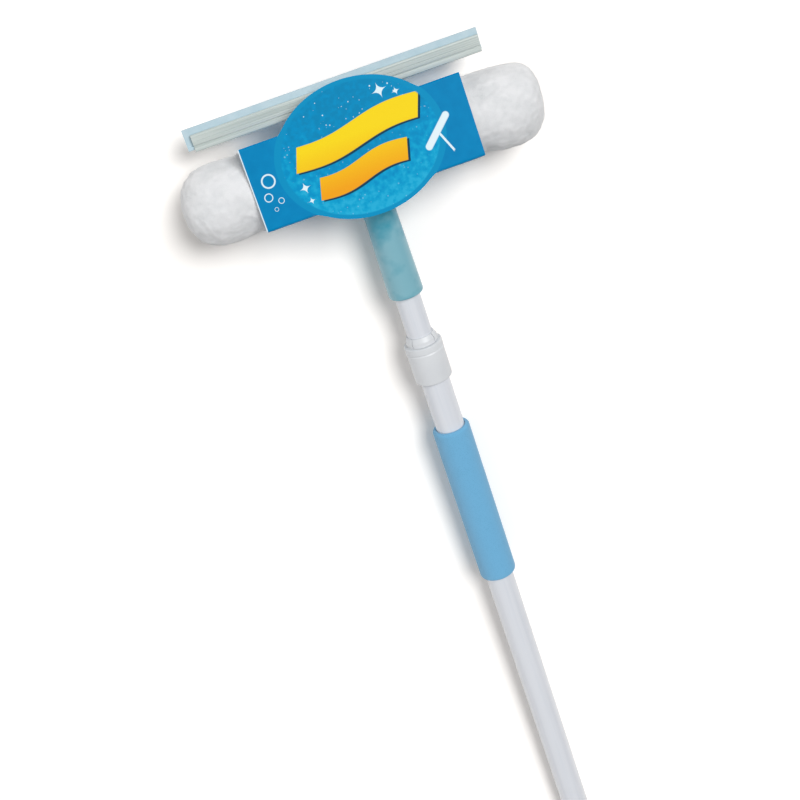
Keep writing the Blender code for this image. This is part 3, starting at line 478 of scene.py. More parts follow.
class Motif(str, Enum):
    """The drawings that are printed on the card."""

    WIPE = "wipe_motif"
    STAR = "sparkle_motif"
    WIPER = "wiper_motif"
    BUBBLE = "bubble_motif"

    def drawn(self, x: Value, y: Value) -> Value:
        """Draws the motif: the wipe in millimetres, and the others one unit from their centre to their end.

        Args:
            x: the distance to the right of its centre.
            y: the distance above its centre.

        Returns:
            A mask that is 1 on the motif.
        """
        if self is Motif.WIPE:  # A waving band with slanted ends.
            wave = (x * (2 * math.pi / 96)).worked("SINE") * 2.6
            return abs(y - wave).under(8.6, 0.4) * abs(x - y * 0.45).under(45.0, 0.4)
        if self is Motif.STAR:  # Four points.
            return (abs(x).worked("SQRT") + abs(y).worked("SQRT")).under(1.0, 0.08)
        if self is Motif.BUBBLE:  # A thin ring.
            return abs((x * x + y * y).worked("SQRT") - 1.0).under(0.12, 0.08)
        # A plain roller with round ends on a leaning stick.
        past_end = (abs(x) - 0.83).worked("MAXIMUM", 0.0)
        roller = (past_end * past_end + y * y).worked("SQRT").under(0.17, 0.04)
        stick = (abs(x - y * 0.365) * 9.0).worked("MAXIMUM", abs(y + 0.66)).under(0.5, 0.06)
        return roller.worked("MAXIMUM", stick)

    def group(self) -> NodeTree:
        """Makes the node group that turns a place into the motif's mask.

        Returns:
            The group.
        """
        group = bpy.data.node_groups.new(self.value, "ShaderNodeTree")
        group.interface.new_socket("Place", in_out="INPUT", socket_type="NodeSocketVector")
        group.interface.new_socket("Mask", in_out="OUTPUT", socket_type="NodeSocketFloat")
        x, y, _ = Value.parts(group, add_node(group, "NodeGroupInput").outputs["Place"])
        add_node(group, "NodeGroupOutput", {"Mask": self.drawn(x, y)})
        return group


@dataclass(frozen=True)
class CardFace:
    """The card's flat face: how far it leans towards the head, and the oval that stands out over it."""

    tilt: float = math.radians(12)
    half_length: float = 58.5 * MM
    half_height: float = 46.8 * MM
    rise: float = 5.8 * MM


@dataclass
class PrintedBoard:
    """Offset-printed board under a satin varnish: crisp flat inks, and the board's faint waves in the gloss.

    The print is a plain design of this part's own: two broad wipes across a wet blue oval, with a few small
    motifs. Its places and sizes are in millimetres along the card and up its face.
    """

    face: CardFace = CardFace()
    band: str = "0080B8"
    band_thin: str = "0287BF"
    rim: str = "0890C2"
    top: str = "0486B8"
    deep: str = "0090C6"
    bright: str = "0CA2D0"
    glint: str = "26AED8"
    wipe_low: str = "F2A31C"
    wipe_high: str = "F8D81E"
    shadow: str = "0B4058"
    white: str = "E2F3FA"
    face_height: float = 28.0
    bare_edge: float = -78.3
    rim_edge: float = 1.02
    field_edge: float = 0.94
    wipe_offset: float = 1.3
    mist_size: float = 4.0
    drop_size: float = 2.4
    wave_length: float = 52.0
    ink_grain: float = 7.0
    board_wave: float = 18.0
    board_wave_depth: float = 0.25

    def __post_init__(self) -> None:
        """Starts the material, and finds where on the card a place lies."""
        self.board = Surface("printed_varnished_board", 0.42, IOR=1.5, Specular_IOR_Level=0.06)
        self.tree = self.board.tree
        turned = {"Vector": self.board.place, "Rotation": (self.face.tilt, 0, 0), "Scale": [1 / MM] * 3}
        face = add_node(self.tree, "Mapping", turned).outputs["Vector"]
        flat = add_node(self.tree, "VectorMath", {0: face, 1: (1, 1, 0)}, operation="MULTIPLY")
        self.flat = flat.outputs["Vector"]
        self.across, self.rise, height = Value.parts(self.tree, face)
        self.front = height.worked("GREATER_THAN", self.face_height)
        self.back = height.worked("LESS_THAN", self.face_height)
        wide = self.across * (MM / self.face.half_length)
        high = (self.rise - self.face.rise / MM) * (MM / self.face.half_height)
        self.spread = (wide * wide + high * high).worked("SQRT")
        self.in_field = self.spread.under(self.field_edge, 0.02) * self.front

    def back_waves(self) -> Layers:
        """Three thin waves round the card's back, which run along the roll.

        Returns:
            Each ink and its mask.
        """
        x, y, z = Value.parts(self.tree, self.board.place)
        swing = (x * (2 * math.pi / (self.wave_length * MM))).worked("SINE")
        wave = swing * 0.07 + y.worked("ARCTAN2", z * -1.0)
        # Each row: how far round the card the line runs, and half its width, in radians.
        lines = ((0.42, 0.05), (0.56, 0.025), (0.65, 0.012))
        return [(self.glint, abs(wave - place).under(half, 0.008) * self.back) for place, half in lines]

    def wet_oval(self) -> Layers:
        """The oval: a rim round a mottled blue that brightens towards it, with fine drops near the top.

        Returns:
            Each ink and its mask.
        """
        misty = {"Vector": self.flat, "Scale": 1 / self.mist_size, "Detail": 7}
        mist = add_node(self.tree, "TexNoise", misty)
        shade = self.spread * 0.25 + self.rise * -0.006 + mist.outputs["Fac"]
        wet = shade.coloured((0.4, self.top), (0.62, self.deep), (0.82, self.bright), (0.98, self.glint))
        scattered = {"Vector": self.flat, "Scale": 1 / self.drop_size, "Randomness": 0.9}
        drops = add_node(self.tree, "TexVoronoi", scattered)
        chance = add_node(self.tree, "SeparateColor", {"Color": drops.outputs["Color"]}).outputs["Red"]
        radius = Value(self.tree, chance).ranged((0.3, 1.0), (0.0, 0.27))
        speckle = (Value(self.tree, drops.outputs["Distance"]) - radius).under(-0.02, 0.06)
        amount = self.rise.ranged((14.0, 36.0), (0.15, 0.9))
        return [
            (self.rim, self.spread.under(self.rim_edge, 0.01) * self.front),
            (wet, self.in_field),
            (self.white, speckle * amount * self.in_field),
        ]

    def stamps(self) -> Layers:
        """The two wipes, each over its own dark offset, and the small motifs.

        Returns:
            Each ink and its mask.
        """
        glow = self.rise.ranged((-22.0, 32.0)).coloured((0.1, self.wipe_low), (0.7, self.wipe_high))
        rows = []
        for ink, off in ((self.shadow, self.wipe_offset), (glow, 0.0)):
            for x, y, wide, high in ((1.0, 16.0, 1.0, 1.0), (-2.5, -8.5, 0.72, 0.9)):
                rows.append((ink, self.in_field, Motif.WIPE, (x + off, y - off, 0), 5, (wide, high, 1)))
        for motif, x, y, degrees, size in (
            (Motif.STAR, 24.0, 37.5, 8, 6.0), (Motif.STAR, 34.5, 33.5, 8, 3.2),
            (Motif.STAR, -44.5, -7.5, 8, 4.4), (Motif.STAR, -43.0, -17.0, 8, 2.8),
            (Motif.WIPER, 52.8, -0.9, 44, 14.3), (Motif.BUBBLE, -66.5, 5.0, 0, 4.4),
            (Motif.BUBBLE, -70.0, -5.5, 0, 2.7), (Motif.BUBBLE, -62.5, -10.0, 0, 1.9),
            (Motif.BUBBLE, -67.5, -14.5, 0, 1.3),
        ):
            rows.append((self.white, self.front, motif, (x, y, 0), degrees, (size, size, 1)))
        groups = {motif: motif.group() for motif in Motif}
        layers = []
        for ink, where, motif, centre, degrees, size in rows:
            turned = (0, 0, math.radians(degrees))
            lie = {"Vector": self.flat, "Location": centre, "Rotation": turned, "Scale": size}
            own = add_node(self.tree, "Mapping", lie, vector_type="TEXTURE")
            stamp = add_node(self.tree, "Group", {"Place": own.outputs["Vector"]}, node_tree=groups[motif])
            layers.append((ink, Value(self.tree, stamp.outputs["Mask"]) * where))
        return layers

    def build(self) -> Material:
        """Makes the material, ink by ink.

        Returns:
            The material.
        """
        ink_depth = self.board.pattern("TexNoise", self.ink_grain, Detail=5)
        colour = ink_depth.coloured((0.3, self.band_thin), (0.7, self.band))
        bare = (self.white, self.across.under(self.bare_edge, 0.2))
        for ink, mask in (*self.back_waves(), *self.wet_oval(), *self.stamps(), bare):
            layer = {"Factor": mask, 6: colour, 7: linear(ink) if isinstance(ink, str) else ink}
            colour = add_node(self.tree, "Mix", layer, data_type="RGBA").outputs[2]
        waves = self.board.pattern("TexNoise", self.board_wave, Detail=1)
        return self.board.finished(colour, (waves, self.board_wave_depth, 0.4))


@dataclass(frozen=True)
class StudioPaper:
    """A seamless paper floor: matt, pale, and to the camera as white as the sky where nothing shades it."""

    colour: str = "EEEBE8"
    lift: float = 1.38

    def build(self) -> Material:
        """Makes the material. Only what the camera and reflections see is lifted, so no light is added."""
        material = bpy.data.materials.new("studio_paper")
        material.use_nodes = True
        tree = material.node_tree
        tree.nodes.clear()
        ray = add_node(tree, "LightPath").outputs
        seen = Value(tree, ray["Is Camera Ray"])
        for kind in ("Is Glossy Ray", "Is Transmission Ray"):
            seen = seen.worked("MAXIMUM", ray[kind])
        paper = linear(self.colour)
        lifted = (*[channel * self.lift for channel in paper[:3]], 1.0)
        tint = add_node(tree, "Mix", {"Factor": seen, 6: paper, 7: lifted}, data_type="RGBA")
        sheet = add_node(tree, "BsdfDiffuse", {"Color": tint.outputs[2]})
        add_node(tree, "OutputMaterial", {"Surface": sheet.outputs[0]})
        return material


@dataclass(frozen=True)
class Wand:
    """How the wand lies on the floor, and the materials of each slot."""

    lay: Matrix
    finishes: dict[Slot, list[Material]]

    @classmethod
    def from_frame(cls) -> Wand:
        """Reads the roll's centre and the pole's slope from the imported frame.

        Returns:
            The wand, with its materials made.
        """
        low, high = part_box("washer_sleeve")
        slope = Vector(frame["joints"][0]["axis"])
        turn = Matrix.Rotation(math.atan2(slope.z, slope.y), 4, "X")
        finishes = {
            Slot.ENAMEL: [Enamel()],
            Slot.WHITE: [MouldedPlastic("white_polypropylene", "E0E3E6", "D8DBDF", 0.42)],
            # The teal darkens towards the head: painted shadow of the card on the neck.
            Slot.TEAL: [MouldedPlastic("teal_abs", "84B9C7", "3F9AB0", 0.3, 20, 0.15)],
            Slot.GREY: [MouldedPlastic("grey_polypropylene", "9AA3A8", "8F989D", 0.5)],
            Slot.BAR: [ExtrudedPlastic()],
            Slot.RUBBER: [BladeRubber()],
            Slot.FOAM: [ClosedCellFoam()],
            Slot.PLUSH: [PlushPile()],
            Slot.SPONGE: [OpenCellSponge()],
            Slot.CARD: [PrintedBoard(), BareBoard()],
            Slot.STEEL: [ZincPlatedSteel()],
        }
        made = {slot: [finish.build() for finish in looks] for slot, looks in finishes.items()}
        return cls(Matrix.Translation((low + high) / 2) @ turn, made)

    def place(self, name: str, mesh: Mesh, slot: Slot, body: Body, *nodes: str) -> Object:
        """Lays a new piece with the wand, so that it rides on its body and stands for its CAD nodes.

        Args:
            name: the piece's name.
            mesh: its mesh, in the wand's axes.
            slot: the record's material slot.
            body: the body that carries it.
            *nodes: the CAD nodes that it replaces.

        Returns:
            The new piece.
        """
        piece = in_scene(name, mesh)
        for look in self.finishes[slot]:
            mesh.materials.append(look)
        piece.matrix_world = self.lay
        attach(piece, body.value)
        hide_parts(*nodes)
        LOG.info("%s: %d faces on %s", name, len(mesh.polygons), body.value)
        return piece

    def dress(self, slot: Slot, *nodes: str) -> None:
        """Gives CAD nodes that keep their shape a material.

        Args:
            slot: the slot whose material they get.
            *nodes: the CAD nodes.
        """
        for node in nodes:
            materials = frame["nodes"][node].data.materials
            materials.clear()
            materials.append(self.finishes[slot][0])
        LOG.info("%s on %s", slot.value, ", ".join(nodes))


def finished_mesh(shape: bmesh.types.BMesh, name: str) -> Mesh:
    """Turns a bmesh into a smooth mesh with sharp edges past an angle, and frees it.

    Args:
        shape: the bmesh.
        name: the mesh's name.

    Returns:
        The new mesh.
    """
    bmesh.ops.recalc_face_normals(shape, faces=shape.faces)
    mesh = bpy.data.meshes.new(name)
    shape.to_mesh(mesh)
    shape.free()
    mesh.shade_smooth()
    mesh.set_sharp_from_angle(angle=math.radians(SHARP_DEGREES))
    return mesh


def corner_arc(
    here: Vector, back: Vector, ahead: Vector, radius: float, steps: int
) -> tuple[Vector, list[Vector]]:
    """The arc that rounds a corner.

    Args:
        here: the corner.
        back: the unit vector towards the corner before.
        ahead: the unit vector towards the corner after.
        radius: the arc's radius.
        steps: the number of its short edges.

    Returns:
        The arc's centre, and the arms from there to its points.
    """
    half = back.angle(ahead) / 2
    centre = here + (back + ahead).normalized() * radius / math.sin(half)
    start = here + back * radius / math.tan(half) - centre
    end = here + ahead * radius / math.tan(half) - centre
    sweep = math.atan2(start.x * end.y - start.y * end.x, start.dot(end))
    return centre, [Matrix.Rotation(sweep * step / steps, 2) @ start for step in range(steps + 1)]


def rounded_outline(corners: Corners, steps: int = 6) -> Outline:
    """Rounds the corners of a closed outline.

    Args:
        corners: each (a, b) or (a, b, radius), in order.
        steps: the number of short edges on each rounded corner.

    Returns:
        The outline's points.
    """
    outline: Outline = []
    for index, corner in enumerate(corners):
        here = Vector(corner[:2])
        if len(corner) == 2:
            outline.append((here.x, here.y))
            continue
        back = (Vector(corners[index - 1][:2]) - here).normalized()
        ahead = (Vector(corners[(index + 1) % len(corners)][:2]) - here).normalized()
        centre, arms = corner_arc(here, back, ahead, corner[2], steps)
        outline += [(centre.x + arm.x, centre.y + arm.y) for arm in arms]
    return outline


def lofted_mesh(name: str, rings: list[list[Vector]], capped: bool = True) -> Mesh:
    """Skins closed rings that have as many points each.

    Args:
        name: the mesh's name.
        rings: the rings, in order.
        capped: whether the first and last rings are filled, or else the last joins the first.

    Returns:
        The new mesh.
    """
    shape = bmesh.new()
    loops = [[shape.verts.new(point) for point in ring] for ring in rings]
    pairs = list(zip(loops, loops[1:]))
    if capped:
        shape.faces.new(loops[0])
        shape.faces.new(loops[-1])
    else:
        pairs.append((loops[-1], loops[0]))
    for first, second in pairs:
        for index, vertex in enumerate(first):
            shape.faces.new((first[index - 1], vertex, second[index], second[index - 1]))
    bmesh.ops.remove_doubles(shape, verts=shape.verts, dist=WELD)
    loose = [edge for edge in shape.edges if not edge.link_faces]
    bmesh.ops.delete(shape, geom=loose, context="EDGES")
    return finished_mesh(shape, name)


def turned_mesh(name: str, corners: Corners, sweep: tuple[float, float] = (0, 360), steps: int = 96) -> Mesh:
    """Turns a closed outline about the pole, all round or over a part of the turn.

    Args:
        name: the mesh's name.
        corners: the outline's corners, as (radius, distance down the pole) or with a rounding radius.
        sweep: the first and last angle, in degrees.
        steps: the number of facets all round.

    Returns:
        The new mesh.
    """
    outline = rounded_outline(corners)
    degrees = sweep[1] - sweep[0]
    whole = degrees == 360
    count = max(round(steps * degrees / 360), 1)
    rings = []
    for step in range(count if whole else count + 1):
        turn = math.radians(sweep[0] + degrees * step / count)
        across = Vector((math.cos(turn), 0, math.sin(turn)))
        rings.append([across * radius + Vector((0, -station, 0)) for radius, station in outline])
    return lofted_mesh(name, rings, not whole)


def extruded_mesh(name: str, corners: Corners, left: float, right: float) -> Mesh:
    """Draws a section out along the roll.

    Args:
        name: the mesh's name.
        corners: the section's corners, as (Y, Z) or with a rounding radius.
        left: the left end's place.
        right: the right end's place.

    Returns:
        The new mesh.
    """
    outline = rounded_outline(corners, 4)
    return lofted_mesh(name, [[Vector((x, y, z)) for y, z in outline] for x in (left, right)])


def joined_mesh(name: str, meshes: list[Mesh]) -> Mesh:
    """Gathers meshes into one.

    Args:
        name: the new mesh's name.
        meshes: the meshes.

    Returns:
        The new mesh.
    """
    shape = bmesh.new()
    for mesh in meshes:
        shape.from_mesh(mesh)
    whole = bpy.data.meshes.new(name)
    shape.to_mesh(whole)
    shape.free()
    return whole


def laid_across(mesh: Mesh) -> Mesh:
    """Turns a mesh from the pole's way to the roll's."""
    mesh.transform(Matrix.Rotation(math.pi / 2, 4, "Z"))
    return mesh


def carved_mesh(name: str, mesh: Mesh, tools: list[Mesh], sharp: float = SHARP_DEGREES) -> Mesh:
    """Cuts tools out of a mesh.

    Args:
        name: the new mesh's name.
        mesh: the mesh that is cut.
        tools: closed meshes.
        sharp: the angle, in degrees, from which an edge stays sharp.

    Returns:
        The cut mesh.
    """
    piece = in_scene(name, mesh)
    cutters = [in_scene(tool.name, tool) for tool in tools]
    for cutter in cutters:
        bite = piece.modifiers.new(cutter.name, "BOOLEAN")
        bite.object = cutter
        bite.solver = "EXACT"
    cut = apply_modifiers(piece)
    for spare in (piece, *cutters):
        bpy.data.objects.remove(spare)
    cut.set_sharp_from_angle(angle=math.radians(sharp))
    return cut


def apply_modifiers(piece: Object) -> Mesh:
    """The mesh of an object with all its modifiers applied."""
    graph = bpy.context.evaluated_depsgraph_get()
    return bpy.data.meshes.new_from_object(piece.evaluated_get(graph))


@dataclass
class WashingRoll:
    """The plush sleeve over its sponge cores: a waist in the card's grip and two swollen, blunt ends."""

    half_length: float = 130.5 * MM
    end_radius: float = 31.0 * MM
    waist_radius: float = 29.4 * MM
    grip_half: float = 79.0 * MM
    swell_length: float = 17.0 * MM
    rounding: float = 28.0 * MM
    left_power: float = 2.3
    left_slack: float = 0.15
    right_power: float = 2.4
    right_blunt: float = 1.5
    blunt_degrees: float = 15.0
    end_rings: int = 24
    body_rings: int = 56
    facets: int = 72
    core_radius: float = 25.8 * MM
    core_end: float = 113.0 * MM
    right_extra: float = 3.6 * MM
    right_drop: float = 3.6 * MM
    left_extra: float = 0.8 * MM
    voxel: float = 4.5 * MM
    slack: float = 1.0 * MM
    most_swell: float = 1.6 * MM
    pressure: float = 4.0
    frames: int = 20
    clearance: float = 0.45 * MM
    floor_gap: float = 0.15 * MM
    foot_height: float = 14.0 * MM
    foot_sink: float = 2.6 * MM
    free_length: float = 6.0 * MM
    # Painted shade: each this much of a crease's depth greys the pile by one unit of its height.
    crease_shade_depth: float = 9.0 * MM
    tuck_depth: float = 9.0 * MM
    neck_room: float = 13.5 * MM
    stem_room: tuple[float, float] = (9.5 * MM, 6.0 * MM)
    tuck_reach: float = 1.4

    def fullness(self, side: float, turn: float) -> float:
        """How square an end is: the power of its rounded profile.

        Args:
            side: -1 on the left end, 1 on the right end.
            turn: the angle round the roll, from the head side towards the card.

        Returns:
            The power, where 2 is an ellipse.
        """
        up = math.cos(turn - math.radians(self.blunt_degrees))
        if side > 0:
            return self.right_power + self.right_blunt * max(up, 0) ** 2
        return self.left_power - self.left_slack * up

    def radius(self, along: float, turn: float) -> float:
        """The roll's radius at a place.

        Args:
            along: the distance from the roll's middle, signed.
            turn: the angle round the roll, from the head side towards the card.

        Returns:
            The radius.
        """
        away = abs(along)
        swell = eased(within_unit((away - self.grip_half) / self.swell_length))
        radius = self.waist_radius + (self.end_radius - self.waist_radius) * swell
        into_end = within_unit((away - self.half_length + self.rounding) / self.rounding)
        power = self.fullness(along, turn)
        return radius * (1 - into_end ** power) ** (1 / power)

    def shell(self) -> Mesh:
        """The roll's slack form, before it is filled.

        Returns:
            Its mesh.
        """
        last, count = self.end_rings, self.body_rings
        ends = [self.rounding * math.sin(math.pi / 2 * step / last) for step in range(1, last)]
        edge = self.half_length - self.rounding
        body = [edge * (2 * step / count - 1) for step in range(count + 1)]
        rings = []
        for x in [-edge - s for s in reversed(ends)] + body + [edge + s for s in ends]:
            ring = []
            for step in range(self.facets):
                turn = 2 * math.pi * step / self.facets
                radius = self.radius(x, turn)
                radius -= self.slack * min(1, radius / self.end_radius)
                ring.append(self.settled(Vector((x, radius * math.cos(turn), radius * math.sin(turn)))))
            rings.append(ring)
        return lofted_mesh("washing_roll", rings)

    def settled(self, point: Vector) -> Vector:
        """Draws the fabric's free ends out, and lets the right one hang a little towards the pole.

        Args:
            point: a place on the even form.

        Returns:
            Where that place comes to lie.
        """
        free = within_unit((abs(point.x) - self.grip_half) / (self.half_length - self.grip_half))
        if point.x > 0:
            return point + Vector((self.right_extra * free, -self.right_drop * free * (2 - free), 0))
        return point - Vector((self.left_extra * free, 0, 0))

    def filled(self, shell: Mesh) -> Mesh:
        """Fills the slack form: remeshes it and blows it up as cloth, held where the card grips it.

        Args:
            shell: the slack form.

        Returns:
            The filled form's mesh.
        """
        piece = in_scene("filling", shell)
        remesh = piece.modifiers.new("even_quads", "REMESH")
        remesh.mode = "VOXEL"
        remesh.voxel_size = self.voxel
        mesh = apply_modifiers(piece)
        piece.modifiers.remove(remesh)
        piece.data = mesh
        self.blow_up(piece)
        piece.modifiers.new("finer", "SUBSURF").levels = 2
        result = apply_modifiers(piece)
        bpy.data.objects.remove(piece)
        return result

    def blow_up(self, piece: Object) -> None:
        """Runs the cloth simulation on the remeshed form and keeps its result, within a cap.

        Args:
            piece: the object that holds the remeshed form.
        """
        grip = piece.vertex_groups.new(name="grip")
        for vertex in piece.data.vertices:
            held = 1 - within_unit((abs(vertex.co.x) - self.grip_half) / self.swell_length)
            grip.add([vertex.index], held, "REPLACE")
        cloth = piece.modifiers.new("filling", "CLOTH")
        cloth.settings.use_pressure = True
        cloth.settings.uniform_pressure_force = self.pressure
        cloth.settings.effector_weights.gravity = 0
        cloth.settings.vertex_group_mass = "grip"
        cloth.point_cache.frame_end = self.frames
        scene = bpy.context.scene
        for number in range(1, self.frames + 1):
            scene.frame_set(number)
        graph = bpy.context.evaluated_depsgraph_get()
        blown = [vertex.co.copy() for vertex in piece.evaluated_get(graph).data.vertices]
        piece.modifiers.remove(cloth)
        for vertex, place in zip(piece.data.vertices, blown):
            step = place - vertex.co
            if step.length > self.most_swell:
                step *= self.most_swell / step.length
            vertex.co += step
        scene.frame_set(1)

    def crease(self, point: Vector) -> float:
        """How deep the creases are, where the card pinches the sleeve and where its ends are sewn.

        Args:
            point: a place on the sleeve.

        Returns:
            The depth.
        """
        turn = math.atan2(point.z, point.y)
        depth = 0.0
        for along, angle, length, width, deep in (
            (90, 50, 11, 13, 2.6), (84, 22, 8, 12, 1.7), (97, 82, 9, 16, 0.8), (86, 150, 9, 12, 1.0),
            (-87, 62, 9, 24, -1.5), (-86, 118, 8, 12, 0.6), (-95, 20, 10, 10, 0.8), (-117, 62, 7, 20, 0.9),
            (117, 76, 6, 24, 0.9), (118, 130, 6, 14, 0.7), (-119, 128, 6, 14, 0.8),
            (88, -60, 9, 14, 1.2), (-88, -75, 9, 14, 1.2), (90, -130, 10, 14, 1.0), (-92, -140, 10, 14, 1.0),
        ):
            near_x = (point.x - along * MM) / (length * MM)
            near_turn = math.remainder(turn - math.radians(angle), 2 * math.pi) / math.radians(width)
            depth += deep * MM * math.exp(-near_x * near_x - near_turn * near_turn)
        return depth

    def pile(self, mesh: Mesh, lay: Matrix) -> None:
        """Gives the sleeve its creases and tufts, sits it on the floor, and stores how high the pile stands,
        for painted shade.

        Args:
            mesh: the filled form, which is changed.
            lay: how the wand lies, which tells where the floor is.
        """
        shade_heights = mesh.attributes.new("pile_shade_height", "FLOAT", "POINT")
        to_floor = lay.inverted()
        gripped = self.waist_radius - self.clearance
        normals = [vertex.normal.copy() for vertex in mesh.vertices]
        for vertex, normal in zip(mesh.vertices, normals):
            point = vertex.co.copy()
            free = within_unit((abs(point.x) - self.grip_half) / self.free_length)
            drop, height = self.crease(point), 0.0
            # Each row: the clumps' size in mm, their shift, their depth in mm, and their share of the height,
            # which is painted as shade.
            for size, shift, deep, share in (
                (11, (0, 0, 0), 0.8, 0.45), (3.8, (7, 0, 0), 0.9, 0.4), (2.4, (0, 9, 0), 0.3, 0.15)
            ):
                clump = noise.noise(point / (size * MM) + Vector(shift)) * 0.5 + 0.5
                drop += deep * (1 - clump) * MM
                height += share * clump
            point -= normal * drop * free
            around = math.hypot(point.y, point.z)
            if abs(point.x) < self.core_end and around < self.core_radius:
                point.yz *= self.core_radius / around
            limit = gripped + free * (around - gripped)
            if free < 1 and around > limit:
                point.yz *= limit / around
            world = lay @ point
            if world.z < self.foot_height:
                sink = self.foot_sink * free * (1 - world.z / self.foot_height)
                world.z = max(world.z - sink, self.floor_gap)
                point = to_floor @ world
            vertex.co = point
            # Painted shade: low clumps and creases store a lower height, which the plush material greys.
            shade_heights.data[vertex.index].value = height - self.crease(point) / self.crease_shade_depth

    def tuck(self, mesh: Mesh) -> None:
        """Tucks the sleeve in round the neck and the blade's stem, where its seams are left open.

        Args:
            mesh: the sleeve's mesh, which is changed.
        """
        for vertex in mesh.vertices:
            point = vertex.co
            if point.y < 0:
                near = math.hypot(point.x, point.z) / self.neck_room
            else:
                near = max(abs(point.x) / self.stem_room[0], abs(point.z) / self.stem_room[1])
            pulled = eased(within_unit((self.tuck_reach - near) / (self.tuck_reach - 1)))
            point.y -= math.copysign(self.tuck_depth * pulled, point.y)

    def build(self, wand: Wand) -> None:
        """Makes the sleeve and dresses the sponge cores."""
        mesh = self.filled(self.shell())
        self.pile(mesh, wand.lay)
        self.tuck(mesh)
        mesh.shade_smooth()
        sleeve = wand.place("plush_sleeve", mesh, Slot.PLUSH, Body.INNER_POLE, "washer_sleeve")
        wand.dress(Slot.SPONGE, "sponge_core_left", "sponge_core_right")


@dataclass
class PrintedCard:
    """The retail card: a flat printed face with an oval, folded and wrapped round the roll."""

    half_length: float = 79.0 * MM
    top: float = 31.0 * MM
    bottom: float = -27.0 * MM
    radius: float = 29.7 * MM
    thickness: float = 0.5 * MM
    fold_radius: float = 1.3 * MM
    fillet: float = 6.0 * MM
    bite_depth: float = 4.0 * MM
    bite_overlap: float = 3.0 * MM
    slot_half: float = 31.5 * MM
    slot_back: float = -8.3 * MM
    slot_front: float = 12.0 * MM
    neck_hole_radius: float = 13.1 * MM
    least_bulge: float = 0.01 * MM
    oval_steps: int = 120
    fold_steps: int = 8
    wrap_steps: int = 72
    sharp: float = 50.0
    face: CardFace = CardFace()

    def on_face(self, height: float, rise: float) -> Vector:
        """The wand's (Y, Z) of a point of the face.

        Args:
            height: its height over the roll's axis, square to the face.
            rise: its rise along the face, towards the head.

        Returns:
            The point.
        """
        sine, cosine = math.sin(self.face.tilt), math.cos(self.face.tilt)
        return Vector((sine, cosine)) * height + Vector((cosine, -sine)) * rise

    def edge(self, side: int, fold: float) -> Outline:
        """One long edge of the face, with the oval standing out over it.

        Args:
            side: 1 for the edge towards the head, -1 for the other.
            fold: the rise of the straight stretch.

        Returns:
            Points (X, rise) from left to right.
        """
        points = [(-self.half_length, fold)]
        for step in range(self.oval_steps + 1):
            turn = math.pi * (step / self.oval_steps - 0.5)
            bulge = side * self.face.rise + self.face.half_height * math.cos(turn)
            straight = side * fold
            overlap = max(self.fillet - abs(straight - bulge), 0) / self.fillet
            reach = max(straight, bulge) + overlap * overlap * self.fillet / 4
            if reach > straight + self.least_bulge:
                points.append((self.face.half_length * math.sin(turn), side * reach))
        return [*points, (self.half_length, fold)]

    def plate(self) -> Mesh:
        """The flat face, as a plate.

        Returns:
            Its mesh.
        """
        outline = self.edge(1, self.top - self.fold_radius)
        outline += reversed(self.edge(-1, self.bottom + self.fold_radius))
        shape = bmesh.new()
        rings = []
        for height in (self.radius + self.thickness, self.radius):
            rings.append([shape.verts.new((x, *self.on_face(height, rise))) for x, rise in outline])
        caps = [shape.faces.new(ring) for ring in rings]
        for index in range(len(outline)):
            shape.faces.new((rings[0][index - 1], rings[0][index], rings[1][index], rings[1][index - 1]))
        for side in shape.faces:
            side.material_index = BoardSide.BARE
        caps[0].material_index = BoardSide.PRINT
        bmesh.ops.triangulate(shape, faces=caps)
        return finished_mesh(shape, "card_face")

    def touch(self, rise: float, side: int) -> tuple[Vector, Vector, float]:
        """Where the wrap leaves the face and where it meets the round, at the board's middle.

        Args:
            rise: where the fold lies along the face.
            side: 1 at the head side, -1 at the other.

        Returns:
            The fold's corner, the place where the wrap meets the round, and that place's angle.
        """
        middle = self.radius + self.thickness / 2
        corner = self.on_face(middle, rise)
        angle = math.atan2(corner.y, corner.x) - side * math.acos(middle / corner.length)
        return corner, Vector((middle * math.cos(angle), middle * math.sin(angle))), angle

    def fold(self, rise: float, side: int, outset: float) -> list[Vector]:
        """The rounded fold between the face and the wrap.

        Args:
            rise: where the fold lies along the face.
            side: 1 at the head side, -1 at the other.
            outset: how far this side of the board stands out from its middle.

        Returns:
            The (Y, Z) points, from the face to the wrap.
        """
        corner, meeting, _ = self.touch(rise, side)
        back = (self.on_face(self.radius + self.thickness / 2, 0) - corner).normalized()
        ahead = (meeting - corner).normalized()
        radius = self.fold_radius * math.tan(back.angle(ahead) / 2)
        centre, arms = corner_arc(corner, back, ahead, radius, self.fold_steps)
        return [centre + arm * (radius + outset) / radius for arm in arms]

    def section(self, radius: float) -> list[Vector]:
        """One side of the wrap: over the upper fold, round the roll, and over the lower fold.

        Args:
            radius: the distance of this side from the roll's axis.

        Returns:
            The (Y, Z) points.
        """
        outset = radius - self.radius - self.thickness / 2
        begin = self.touch(self.top, 1)[2]
        end = self.touch(self.bottom, -1)[2] - 2 * math.pi
        count = self.wrap_steps
        turns = [begin + (end - begin) * step / count for step in range(count + 1)]
        return [
            *self.fold(self.top, 1, outset),
            *[Vector((radius * math.cos(turn), radius * math.sin(turn))) for turn in turns],
            *reversed(self.fold(self.bottom, -1, outset)),
        ]

    def wrap(self) -> Mesh:
        """The strip that goes round the roll, less what the oval, the clamp and the neck take out of it.

        Returns:
            Its mesh.
        """
        half = self.half_length
        rings = []
        for out, into in zip(self.section(self.radius + self.thickness), self.section(self.radius)):
            corners = ((-half, out), (half, out), (half, into), (-half, into))
            rings.append([Vector((x, *corner)) for x, corner in corners])
        return carved_mesh("card_wrap", lofted_mesh("strip", rings), self.cutters(), self.sharp)

